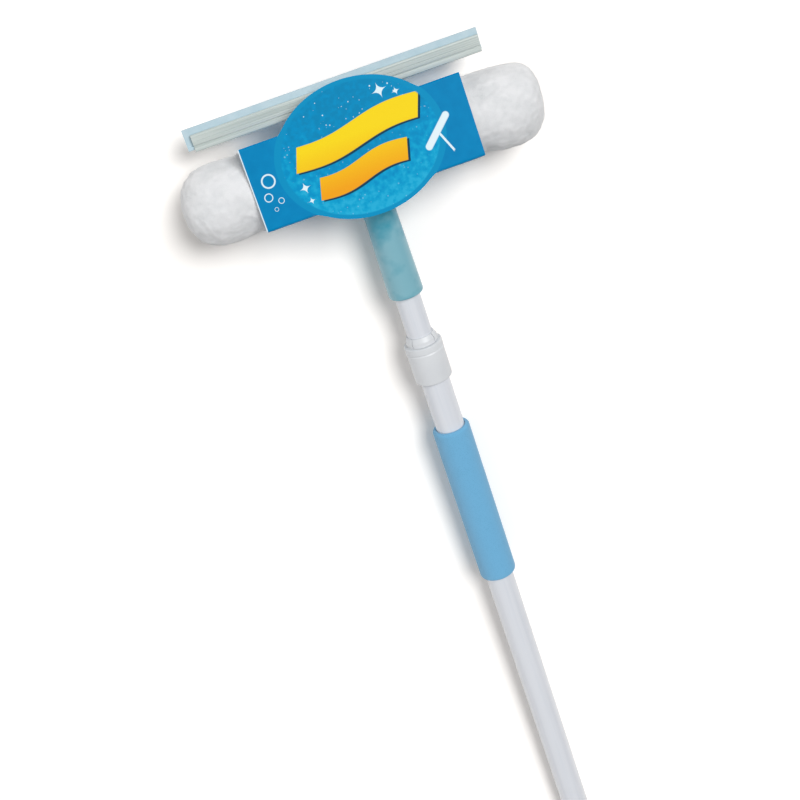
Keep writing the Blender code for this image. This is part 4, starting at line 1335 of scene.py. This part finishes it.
    def cutters(self) -> list[Mesh]:
        """What is cut from the wrap: a slot for the clamp, a hole for the neck, and the oval's bites.

        Returns:
            Their meshes.
        """
        near, far, hole = self.radius / 2, self.radius * 1.5, self.neck_hole_radius
        slot = extruded_mesh("clamp_slot", [
            (near, self.slot_back), (far, self.slot_back), (far, self.slot_front), (near, self.slot_front),
        ], -self.slot_half, self.slot_half)
        neck_hole = turned_mesh("neck_hole", [(0, near), (hole, near), (hole, far), (0, far)], steps=64)
        return [slot, neck_hole, self.bite(1, self.top), self.bite(-1, self.bottom)]

    def bite(self, side: int, rise: float) -> Mesh:
        """The prism that takes the oval's outline out of the wrap, next to a fold.

        Args:
            side: 1 for the fold towards the head, -1 for the other.
            rise: that fold's rise.

        Returns:
            The prism's mesh.
        """
        corner, meeting, _ = self.touch(rise, side)
        down = (meeting - corner).normalized()
        out = Vector((-down.y, down.x))
        bulge = [point for point in self.edge(side, rise) if abs(point[0]) < self.face.half_length]
        points = [(x, side * (up - rise)) for x, up in bulge]
        points = [(points[0][0], -self.bite_overlap), *points, (points[-1][0], -self.bite_overlap)]
        rings = []
        for lift in (-self.bite_depth, self.bite_depth):
            rings.append([Vector((x, *(corner + down * reach + out * lift))) for x, reach in points])
        return lofted_mesh("oval_bite", rings)

    def build(self, wand: Wand) -> None:
        """Makes the card's face and its wrap."""
        wand.place("card_face", self.plate(), Slot.CARD, Body.INNER_POLE, "card_band")
        wand.place("card_wrap", self.wrap(), Slot.CARD, Body.INNER_POLE, "card_band")


@dataclass
class SqueegeeBlade:
    """The ribbed bar and the rubber blade that it holds."""

    channel_length: float = 207.4 * MM
    channel_shift: float = -2.4 * MM
    bottom: float = 40.0 * MM
    height: float = 12.0 * MM
    half_thickness: float = 4.0 * MM
    shoulder: float = 0.8 * MM
    rail_height: float = 3.8 * MM
    rail_half: float = 3.8 * MM
    rail_rounding: float = 1.2 * MM
    groove_height: float = 0.9 * MM
    groove_half: float = 2.9 * MM
    line_heights: tuple[float, ...] = (10.2 * MM, 7.3 * MM)
    line_half: float = 0.3 * MM
    slot_half: float = 1.35 * MM
    room_half: float = 2.4 * MM
    room_bottom: float = 1.2 * MM
    room_height: float = 3.2 * MM
    soft: float = 0.35 * MM
    crisp: float = 0.15 * MM
    rubber_half: float = 1.05 * MM
    lip_bend: float = 0.3 * MM
    web_foot: float = 0.2 * MM
    bulb_half: float = 2.1 * MM
    bulb_height: float = 2.6 * MM
    bulb_rounding: float = 0.6 * MM
    lip_reach: float = 4.5 * MM
    lip_taper: float = 3.5 * MM
    lip_half: float = 0.8 * MM
    lip_edge: float = 0.12 * MM
    overhang_left: float = 4.5 * MM
    overhang_right: float = 0.6 * MM
    fit_gap: float = 0.3 * MM

    def drawn(self, name: str, front: Corners, past_left: float = 0, past_right: float = 0) -> Mesh:
        """Draws a section out along the bar, from its front half.

        Args:
            name: the mesh's name.
            front: the section's corners in front of its middle, from one end to the other.
            past_left: how far it reaches past the bar's left end.
            past_right: how far it reaches past the bar's right end.

        Returns:
            The new mesh.
        """
        corners = front + [(corner[0], -corner[1], *corner[2:]) for corner in reversed(front)]
        left = self.channel_shift - self.channel_length / 2
        return extruded_mesh(name, corners, left - past_left, left + self.channel_length + past_right)

    def channel(self) -> Mesh:
        """The ribbed bar, open along its top, with two fine grooves along its face.

        Returns:
            Its mesh.
        """
        rail_top = self.bottom + self.rail_height
        body_bottom = rail_top + self.groove_height
        room = self.bottom + self.room_bottom
        top = self.bottom + self.height
        lines = []
        for height in self.line_heights:
            for step, inset in ((1, 0), (0, self.line_half), (-1, 0)):
                lines.append((self.bottom + height + step * self.line_half, self.half_thickness - inset))
        return self.drawn("bar", [
            (room, self.room_half, self.soft), (room + self.room_height, self.room_half, self.soft),
            (room + self.room_height, self.slot_half, self.crisp), (top, self.slot_half, self.crisp),
            (top, self.half_thickness, self.shoulder), *lines, (body_bottom, self.half_thickness, self.soft),
            (body_bottom, self.groove_half, self.crisp), (rail_top, self.groove_half, self.crisp),
            (rail_top, self.rail_half, self.soft), (self.bottom, self.rail_half, self.rail_rounding),
        ])

    def rubber(self) -> Mesh:
        """The blade: a bulb in the bar, a web, and a tapered lip with a square-cut edge.

        Returns:
            Its mesh.
        """
        low = self.bottom + self.room_bottom + self.fit_gap
        bulb_top = low + self.bulb_height
        tip = self.bottom + self.height + self.lip_reach
        return self.drawn("blade", [
            (tip, self.lip_half, self.lip_edge), (tip - self.lip_taper, self.rubber_half, self.lip_bend),
            (bulb_top, self.rubber_half, self.web_foot), (bulb_top, self.bulb_half, self.bulb_rounding),
            (low, self.bulb_half, self.bulb_rounding),
        ], self.overhang_left, self.overhang_right)

    def build(self, wand: Wand) -> None:
        """Makes the bar and the rubber."""
        wand.place("ribbed_bar", self.channel(), Slot.BAR, Body.INNER_POLE, "squeegee_channel")
        wand.place("rubber_blade", self.rubber(), Slot.RUBBER, Body.INNER_POLE, "blade_rubber")


@dataclass
class BladeClamp:
    """The bracket that reaches out of the roll, and the plate that its two screws draw against the bar."""

    half_width: float = 30.0 * MM
    bottom: float = 30.5 * MM
    floor: float = 33.0 * MM
    seat: float = 39.7 * MM
    jaw_top: float = 46.0 * MM
    outer: float = 6.8 * MM
    slot: float = 4.3 * MM
    gap: float = 0.15 * MM
    soft: float = 0.6 * MM
    stem_half: float = 7.55 * MM
    stem_thickness: float = 4.0 * MM
    eye_bore: float = 9.3 * MM
    eye_radius: float = 13.0 * MM
    eye_half: float = 7.7 * MM

    def bracket(self) -> Mesh:
        """The back jaw on its foot, the stem through the sleeve, and the eye on the T bar.

        Returns:
            Its mesh.
        """
        jaw = extruded_mesh("back_jaw", [
            (self.bottom, self.outer, self.soft), (self.bottom, -self.outer, self.soft),
            (self.jaw_top, -self.outer, self.soft), (self.jaw_top, -self.slot, self.soft),
            (self.seat, -self.slot), (self.seat, -self.gap), (self.floor, -self.gap),
            (self.floor, self.outer, self.soft),
        ], -self.half_width, self.half_width)
        foot = self.bottom + self.soft
        stem = extruded_mesh("stem", [
            (self.eye_radius, self.stem_thickness, self.soft),
            (self.eye_radius, -self.stem_thickness, self.soft),
            (foot, -self.stem_thickness), (foot, self.stem_thickness),
        ], -self.stem_half, self.stem_half)
        eye = turned_mesh("eye", [
            (self.eye_bore, -self.eye_half), (self.eye_radius, -self.eye_half, self.soft),
            (self.eye_radius, self.eye_half, self.soft), (self.eye_bore, self.eye_half),
        ])
        return joined_mesh("bracket", [jaw, stem, laid_across(eye)])

    def plate(self) -> Mesh:
        """The front jaw.

        Returns:
            Its mesh.
        """
        bottom = self.floor + 2 * self.gap
        return extruded_mesh("front_jaw", [
            (bottom, self.gap, self.soft), (self.seat, self.gap), (self.seat, self.slot),
            (self.jaw_top, self.slot, self.soft), (self.jaw_top, self.outer, self.soft),
            (bottom, self.outer, self.soft),
        ], -self.half_width, self.half_width)

    def build(self, wand: Wand) -> None:
        """Makes the bracket and the plate."""
        wand.place("bracket", self.bracket(), Slot.GREY, Body.INNER_POLE, "blade_bracket")
        wand.place("front_jaw", self.plate(), Slot.GREY, Body.INNER_POLE, "clamp_plate")


@dataclass
class SlottedScrews:
    """The six screws: domed heads with a slot, on plain shanks."""

    head_radius: float = 3.2 * MM
    head_height: float = 1.8 * MM
    crown_drop: float = 0.8 * MM
    shank_radius: float = 1.6 * MM
    point: float = 1.0 * MM
    crown_share: float = 0.45
    crown_rounding: float = 1.6 * MM
    brim_rounding: float = 0.4 * MM
    seat_rounding: float = 0.2 * MM
    slot_half: float = 0.4 * MM
    slot_depth: float = 0.7 * MM
    short: float = 7.0 * MM
    long: float = 10.5 * MM
    front: float = 7.1 * MM
    back: float = -13.3 * MM
    neck_back: float = -12.66 * MM

    def screw(self, name: str, shank: float) -> Mesh:
        """One screw. Its head rests at the origin, and its shank runs down the pole's way.

        Args:
            name: the mesh's name.
            shank: the shank's length.

        Returns:
            The new mesh.
        """
        crown = self.head_radius * self.crown_share
        solid = turned_mesh(name, [
            (0, -self.head_height), (crown, -self.head_height, self.crown_rounding),
            (self.head_radius, self.crown_drop - self.head_height, self.brim_rounding),
            (self.head_radius, 0, self.seat_rounding),
            (self.shank_radius, 0), (self.shank_radius, shank - self.point), (0, shank),
        ], steps=48)
        low, high = self.head_height - self.slot_depth, self.head_height + self.slot_depth
        slot = extruded_mesh("slot", [
            (low, self.slot_half), (high, self.slot_half), (high, -self.slot_half), (low, -self.slot_half)
        ], -2 * self.head_radius, 2 * self.head_radius)
        return carved_mesh(name, solid, [slot])

    def build(self, wand: Wand) -> None:
        """Makes every screw and turns its head to the front or to the back."""
        for node, x, y, z, shank in (
            ("clamp_screw_left", -20, 36.35, self.front, self.long),
            ("clamp_screw_right", 20, 36.35, self.front, self.long),
            ("t_bar_screw_left", -14, 0, self.back, self.short),
            ("t_bar_screw_right", 14, 0, self.back, self.short),
            ("bracket_screw", 0, 0, self.back, self.short),
            ("neck_screw", 0, -75, self.neck_back, self.short),
        ):
            mesh = self.screw(node + "_shape", shank)
            turn = Matrix.Rotation(math.copysign(math.pi / 2, z), 4, "X")
            mesh.transform(Matrix.Translation((x * MM, y * MM, z)) @ turn)
            wand.place(node + "_detail", mesh, Slot.STEEL, Body.INNER_POLE, node)


@dataclass
class Neck:
    """The teal neck: a tapered socket for the inner tube, and a yoke on the T bar in the roll."""

    length: float = 110.0 * MM
    top_radius: float = 11.1 * MM
    end_radius: float = 12.95 * MM
    bore: float = 9.8 * MM
    stop: float = 36.0 * MM
    start: float = 10.0 * MM
    rounding: float = 1.5 * MM
    mouth_rounding: float = 0.4 * MM
    parting_height: float = 0.14 * MM
    ear_bore: float = 9.3 * MM
    ear_radius: float = 13.0 * MM
    ear_inner: float = 8.0 * MM
    ear_outer: float = 20.0 * MM
    ear_soft: float = 0.5 * MM
    bridge_half: float = 8.0 * MM
    bridge_depth: float = 20.0 * MM

    def socket(self) -> Mesh:
        """The tapered tube, with the mould's parting line raised along both sides.

        Returns:
            Its mesh.
        """
        taper = (self.end_radius - self.top_radius) / self.length
        mesh = turned_mesh("socket", [
            (0, self.start), (self.top_radius + taper * self.start, self.start),
            (self.end_radius, self.length, self.rounding), (self.bore, self.length, self.mouth_rounding),
            (self.bore, self.stop), (0, self.stop),
        ])
        for vertex in mesh.vertices:
            around = math.hypot(vertex.co.x, vertex.co.z)
            if abs(vertex.co.z) < WELD and around > self.bore + self.rounding:
                vertex.co.x += math.copysign(self.parting_height, vertex.co.x)
        return mesh

    def build(self, wand: Wand) -> None:
        """Makes the neck, and dresses the T bar and its plugs."""
        ears = []
        for near, far in ((-self.ear_outer, -self.ear_inner), (self.ear_inner, self.ear_outer)):
            ears.append(laid_across(turned_mesh("ear", [
                (self.ear_bore, near), (self.ear_radius, near, self.ear_soft),
                (self.ear_radius, far, self.ear_soft), (self.ear_bore, far),
            ])))
        deep, half = -self.bridge_depth, self.bridge_half
        bridge = extruded_mesh("bridge", [
            (-self.ear_radius, half), (-self.ear_radius, -half),
            (deep, -half, self.rounding), (deep, half, self.rounding),
        ], self.rounding - self.ear_outer, self.ear_outer - self.rounding)
        neck = joined_mesh("neck", [self.socket(), *ears, bridge])
        wand.place("tapered_neck", neck, Slot.TEAL, Body.INNER_POLE, "neck_socket")
        wand.dress(Slot.GREY, "t_bar", "t_bar_plug_left", "t_bar_plug_right")


@dataclass
class TelescopicPole:
    """The two enamelled tubes, with the plug and the bush in their tail, and the moulded cap on the end."""

    inner_radius: float = 9.5 * MM
    inner_top: float = 36.3 * MM
    inner_end: float = 689.3 * MM
    outer_radius: float = 11.0 * MM
    outer_top: float = 163.3 * MM
    outer_end: float = 715.2 * MM
    wall: float = 0.6 * MM
    rim: float = 0.18 * MM
    cap_radius: float = 12.6 * MM
    cap_bore: float = 11.3 * MM
    cap_top: float = 697.5 * MM
    cap_floor: float = 715.5 * MM
    cap_end: float = 721.5 * MM
    rib: float = 0.35 * MM
    bead: float = 3.0 * MM
    tongue_end: float = 741.5 * MM
    tongue_half_width: float = 11.0 * MM
    tongue_half_thickness: float = 5.0 * MM
    tongue_bevel: float = 0.8 * MM
    bevel_steps: int = 4
    tip_steps: int = 16
    tip_rounding: float = 10.5 * MM
    hole_radius: float = 4.0 * MM
    hole_station: float = 730.5 * MM

    def tube(self, name: str, radius: float, top: float, end: float) -> Mesh:
        """A thin tube with softly broken rims, from its outer radius and its two ends down the pole."""
        places = ((radius, top), (radius, end), (radius - self.wall, end), (radius - self.wall, top))
        return turned_mesh(name, [(*place, self.rim) for place in places])

    def cap_shell(self) -> Mesh:
        """The cap's socket, with a bead round its mouth and one at its end.

        Returns:
            Its mesh.
        """
        slim = self.cap_radius - self.rib
        mouth, base = self.cap_top + self.bead, self.cap_end - self.bead
        return turned_mesh("cap_shell", [
            (0, self.cap_floor), (self.cap_bore, self.cap_floor), (self.cap_bore, self.cap_top, self.rib),
            (self.cap_radius, self.cap_top, 2 * self.rib), (self.cap_radius, mouth, self.rib / 2),
            (slim, mouth + self.rib), (slim, base - self.rib), (self.cap_radius, base, self.rib / 2),
            (self.cap_radius, self.cap_end, 2 * self.rib), (0, self.cap_end),
        ])

    def tongue(self) -> Mesh:
        """The flat tongue with rounded edges and the hanging hole.

        Returns:
            Its mesh.
        """
        top = self.cap_end - 2 * self.tongue_bevel
        back = []
        for step in range(self.bevel_steps + 1):
            turn = math.pi / 2 * step / self.bevel_steps
            depth = self.tongue_half_thickness - self.tongue_bevel * (1 - math.cos(turn))
            back.append((self.tongue_bevel * (1 - math.sin(turn)), -depth))
        rings = []
        for inset, depth in back + [(inset, -depth) for inset, depth in reversed(back)]:
            half, tip = self.tongue_half_width - inset, self.tongue_end - inset
            corners = [(-half, -top), (-half, -tip, self.tip_rounding - inset),
                       (half, -tip, self.tip_rounding - inset), (half, -top)]
            rings.append([Vector((x, y, depth)) for x, y in rounded_outline(corners, self.tip_steps)])
        deep, wide = 2 * self.tongue_half_thickness, self.hole_radius
        hole = turned_mesh("hang_hole", [(0, -deep), (wide, -deep), (wide, deep), (0, deep)], steps=64)
        hole.transform(Matrix.Translation((0, -self.hole_station, 0)) @ Matrix.Rotation(math.pi / 2, 4, "X"))
        return carved_mesh("tongue", lofted_mesh("blank", rings), [hole])

    def build(self, wand: Wand) -> None:
        """Makes the tubes and the cap, and dresses what is inside them."""
        inner = self.tube("inner_pole_tube", self.inner_radius, self.inner_top, self.inner_end)
        outer = self.tube("outer_pole_tube", self.outer_radius, self.outer_top, self.outer_end)
        cap = joined_mesh("cap", [self.cap_shell(), self.tongue()])
        wand.place("upper_tube", inner, Slot.ENAMEL, Body.INNER_POLE, "inner_tube")
        wand.place("lower_tube", outer, Slot.ENAMEL, Body.OUTER_POLE, "outer_tube")
        wand.place("hanging_cap", cap, Slot.WHITE, Body.OUTER_POLE, "end_cap")
        wand.dress(Slot.GREY, "tube_plug", "guide_bush")


@dataclass
class TwistLock:
    """The lock between the tubes: a split collet, the ferrule on the outer tube, and the twist ring."""

    top: float = 143.0 * MM
    head_end: float = 149.9 * MM
    collet_end: float = 163.0 * MM
    collet_base: float = 160.0 * MM
    bore: float = 9.8 * MM
    head_radius: float = 12.1 * MM
    shoulder: float = 3.6 * MM
    shoulder_rounding: float = 0.8 * MM
    lip_depth: float = 0.5 * MM
    lip_end: float = 1.5 * MM
    neck_radius: float = 10.5 * MM
    finger_radius: float = 11.0 * MM
    slot_degrees: float = 2.6
    facets: int = 120
    lip_radius: float = 9.58 * MM
    ring_top: float = 150.0 * MM
    ring_end: float = 181.0 * MM
    rim_end: float = 155.2 * MM
    rim_radius: float = 14.5 * MM
    groove_radius: float = 13.75 * MM
    body_radius: float = 14.3 * MM
    body_taper: float = 0.2 * MM
    ring_bore: float = 11.3 * MM
    ring_wide_bore: float = 12.7 * MM
    ring_step: float = 0.4 * MM
    soft: float = 1.0 * MM
    edge: float = 0.3 * MM
    crisp: float = 0.2 * MM
    rim_edge: float = 0.15 * MM
    fine: float = 0.1 * MM
    ferrule_top: float = 157.3 * MM
    ferrule_end: float = 180.5 * MM
    ferrule_radius: float = 12.4 * MM

    def collet(self) -> Mesh:
        """Four fingers on a ring, each with a sloped shoulder.

        Returns:
            Its mesh.
        """
        corners = [
            (self.neck_radius, self.top, self.edge),
            (self.head_radius, self.top + self.shoulder, self.shoulder_rounding),
            (self.head_radius, self.head_end), (self.finger_radius, self.head_end),
            (self.finger_radius, self.collet_base), (self.bore, self.collet_base),
            (self.bore, self.top + self.lip_end), (self.lip_radius, self.top + self.lip_depth),
            (self.lip_radius, self.top),
        ]
        half = self.slot_degrees / 2
        fingers = [turned_mesh("finger", corners, (first + half, first + 90 - half), self.facets)
                   for first in range(45, 360, 90)]
        base = turned_mesh("collet_base", [
            (self.finger_radius, self.collet_base), (self.finger_radius, self.collet_end),
            (self.bore, self.collet_end), (self.bore, self.collet_base),
        ])
        return joined_mesh("collet_shape", [*fingers, base])

    def ring(self) -> Mesh:
        """The twist ring: a rim, a fine groove under it, and a slightly slimmer body with a rounded end.

        Returns:
            Its mesh.
        """
        step = self.ring_step
        inside = self.ferrule_top - step
        return turned_mesh("ring_shape", [
            (self.rim_radius, self.ring_top, self.soft), (self.rim_radius, self.rim_end, self.rim_edge),
            (self.groove_radius, self.rim_end + step, self.fine),
            (self.groove_radius, self.rim_end + 1.5 * step, self.fine),
            (self.body_radius, self.rim_end + 4 * step, self.edge),
            (self.body_radius - self.body_taper, self.ring_end, self.soft),
            (self.ring_wide_bore, self.ring_end, self.crisp), (self.ring_wide_bore, inside),
            (self.ring_bore, inside), (self.ring_bore, self.ring_top, self.edge),
        ])

    def ferrule(self) -> Mesh:
        """The sleeve on the outer tube's end."""
        return turned_mesh("ferrule_shape", [
            (self.ferrule_radius, self.ferrule_top), (self.ferrule_radius, self.ferrule_end, self.crisp),
            (self.ring_bore, self.ferrule_end, self.crisp), (self.ring_bore, self.ferrule_top),
        ])

    def build(self, wand: Wand) -> None:
        """Makes the lock's three rings."""
        wand.place("split_collet", self.collet(), Slot.WHITE, Body.OUTER_POLE, "collet")
        wand.place("tube_ferrule", self.ferrule(), Slot.WHITE, Body.OUTER_POLE, "collar_ferrule")
        wand.place("twist_ring", self.ring(), Slot.WHITE, Body.LOCK_COLLAR, "lock_collar")


@dataclass
class FoamGrip:
    """The foam sleeve on the outer tube, a little uneven between its ends."""

    top: float = 224.0 * MM
    length: float = 139.0 * MM
    bore: float = 11.3 * MM
    radius: float = 14.65 * MM
    rounding: float = 2.5 * MM
    bore_rounding: float = 0.5 * MM
    lining: float = 1.0 * MM
    rings: int = 60
    waver_length: float = 16.0 * MM
    unevenness: float = 0.16 * MM

    def build(self, wand: Wand) -> None:
        """Makes the sleeve: a rounded wall with many rings, then a soft waver of its skin."""
        end = self.top + self.length
        wall = [(self.bore, self.top, self.bore_rounding), (self.radius, self.top, self.rounding)]
        for step in range(1, self.rings):
            station = self.top + self.length * step / self.rings
            if self.top + self.rounding < station < end - self.rounding:
                wall.append((self.radius, station))
        wall += [(self.radius, end, self.rounding), (self.bore, end, self.bore_rounding)]
        mesh = turned_mesh("foam_sleeve", wall)
        for vertex in mesh.vertices:
            around = math.hypot(vertex.co.x, vertex.co.z)
            if around > self.bore + self.lining:
                inward = (noise.noise(vertex.co / self.waver_length) - 1) * self.unevenness / 2
                vertex.co.xz *= (around + inward) / around
        sleeve = wand.place("foam_sleeve", mesh, Slot.FOAM, Body.OUTER_POLE, "foam_grip")


@dataclass
class PhotoCamera:
    """The camera, placed in the wand's axes as the photograph was taken: over the head, down the pole."""

    place: Vector = field(default_factory=lambda: Vector((-0.0582, 0.2652, 0.957)))
    azimuth: float = math.radians(-1.69)
    pitch: float = math.radians(25.39)
    roll: float = math.radians(19.1)
    lens_mm: float = 63.2
    sensor_mm: float = 36.0

    def build(self, wand: Wand) -> None:
        """Makes the camera and sets it as the scene's."""
        data = bpy.data.cameras.new("photo_camera")
        data.lens, data.sensor_width = self.lens_mm, self.sensor_mm
        pose = Matrix.Translation(self.place)
        for angle, axis in ((self.azimuth, "Y"), (-self.pitch, "X"), (-self.roll, "Z")):
            pose @= Matrix.Rotation(angle, 4, axis)
        camera = in_scene("photo_camera", data)
        camera.matrix_world = wand.lay @ pose
        bpy.context.scene.camera = camera
        LOG.info("camera: %.1f mm lens", self.lens_mm)


@dataclass
class Studio:
    """A pale paper floor under an even sky, one soft lamp and a very broad fill."""

    floor_half: float = 6.0
    sky_left: float = 0.48
    sky_right: float = 0.0
    lamp_strength: float = 2.35
    lamp_degrees: float = 30.0
    to_lamp: Vector = field(default_factory=lambda: Vector((0.36, 0.36, 0.86)))
    fill_strength: float = 0.5
    fill_degrees: float = 110.0
    to_fill: Vector = field(default_factory=lambda: Vector((-0.86, 0.1, 0.5)))

    def floor(self) -> None:
        """Makes the floor."""
        shape = bmesh.new()
        bmesh.ops.create_grid(shape, x_segments=1, y_segments=1, size=self.floor_half)
        mesh = finished_mesh(shape, "paper_floor")
        mesh.materials.append(StudioPaper().build())
        in_scene("paper_floor", mesh)

    def sky(self) -> None:
        """Makes the light from all round, stronger from the left. The camera sees it as plain white."""
        world = bpy.data.worlds.new("studio_sky")
        world.use_nodes = True
        tree = world.node_tree
        tree.nodes.clear()
        way = Value.parts(tree, add_node(tree, "TexCoord").outputs["Generated"])[0]
        side = way.ranged((-1.0, 1.0), (self.sky_left, self.sky_right))
        seen = add_node(tree, "LightPath").outputs["Is Camera Ray"]
        strength = add_node(tree, "MapRange", {"Value": seen, "To Min": side, "To Max": 1.0})
        white = {"Color": linear("FFFFFF"), "Strength": strength.outputs["Result"]}
        add_node(tree, "OutputWorld", {"Surface": add_node(tree, "Background", white).outputs[0]})
        bpy.context.scene.world = world

    @staticmethod
    def lamp(name: str, strength: float, degrees: float, towards: Vector) -> None:
        """Makes a lamp that is far away.

        Args:
            name: the lamp's name.
            strength: its strength.
            degrees: how broad it looks from the floor.
            towards: the direction to it.
        """
        light = bpy.data.lights.new(name, "SUN")
        light.energy, light.angle = strength, math.radians(degrees)
        holder = in_scene(name, light)
        holder.rotation_mode = "QUATERNION"
        holder.rotation_quaternion = towards.to_track_quat("Z", "Y")

    def build(self) -> None:
        """Makes the floor, the sky and the two lamps, and sets the plain view. Shadows fall to the left."""
        self.floor()
        self.sky()
        self.lamp("soft_lamp", self.lamp_strength, self.lamp_degrees, self.to_lamp)
        self.lamp("broad_fill", self.fill_strength, self.fill_degrees, self.to_fill)
        bpy.context.scene.view_settings.view_transform = "Standard"
        LOG.info("studio: floor, sky and two soft lamps")


def main() -> None:
    """Builds the squeegee, sub-assembly by sub-assembly, and its studio."""
    logging.basicConfig(level=logging.INFO, format="%(message)s")
    wand = Wand.from_frame()
    PhotoCamera().build(wand)
    for assembly in (
        TelescopicPole(), TwistLock(), FoamGrip(), Neck(), WashingRoll(), PrintedCard(), SqueegeeBlade(),
        BladeClamp(), SlottedScrews(),
    ):
        assembly.build(wand)
    Studio().build()


if __name__ == "__main__":
    main()
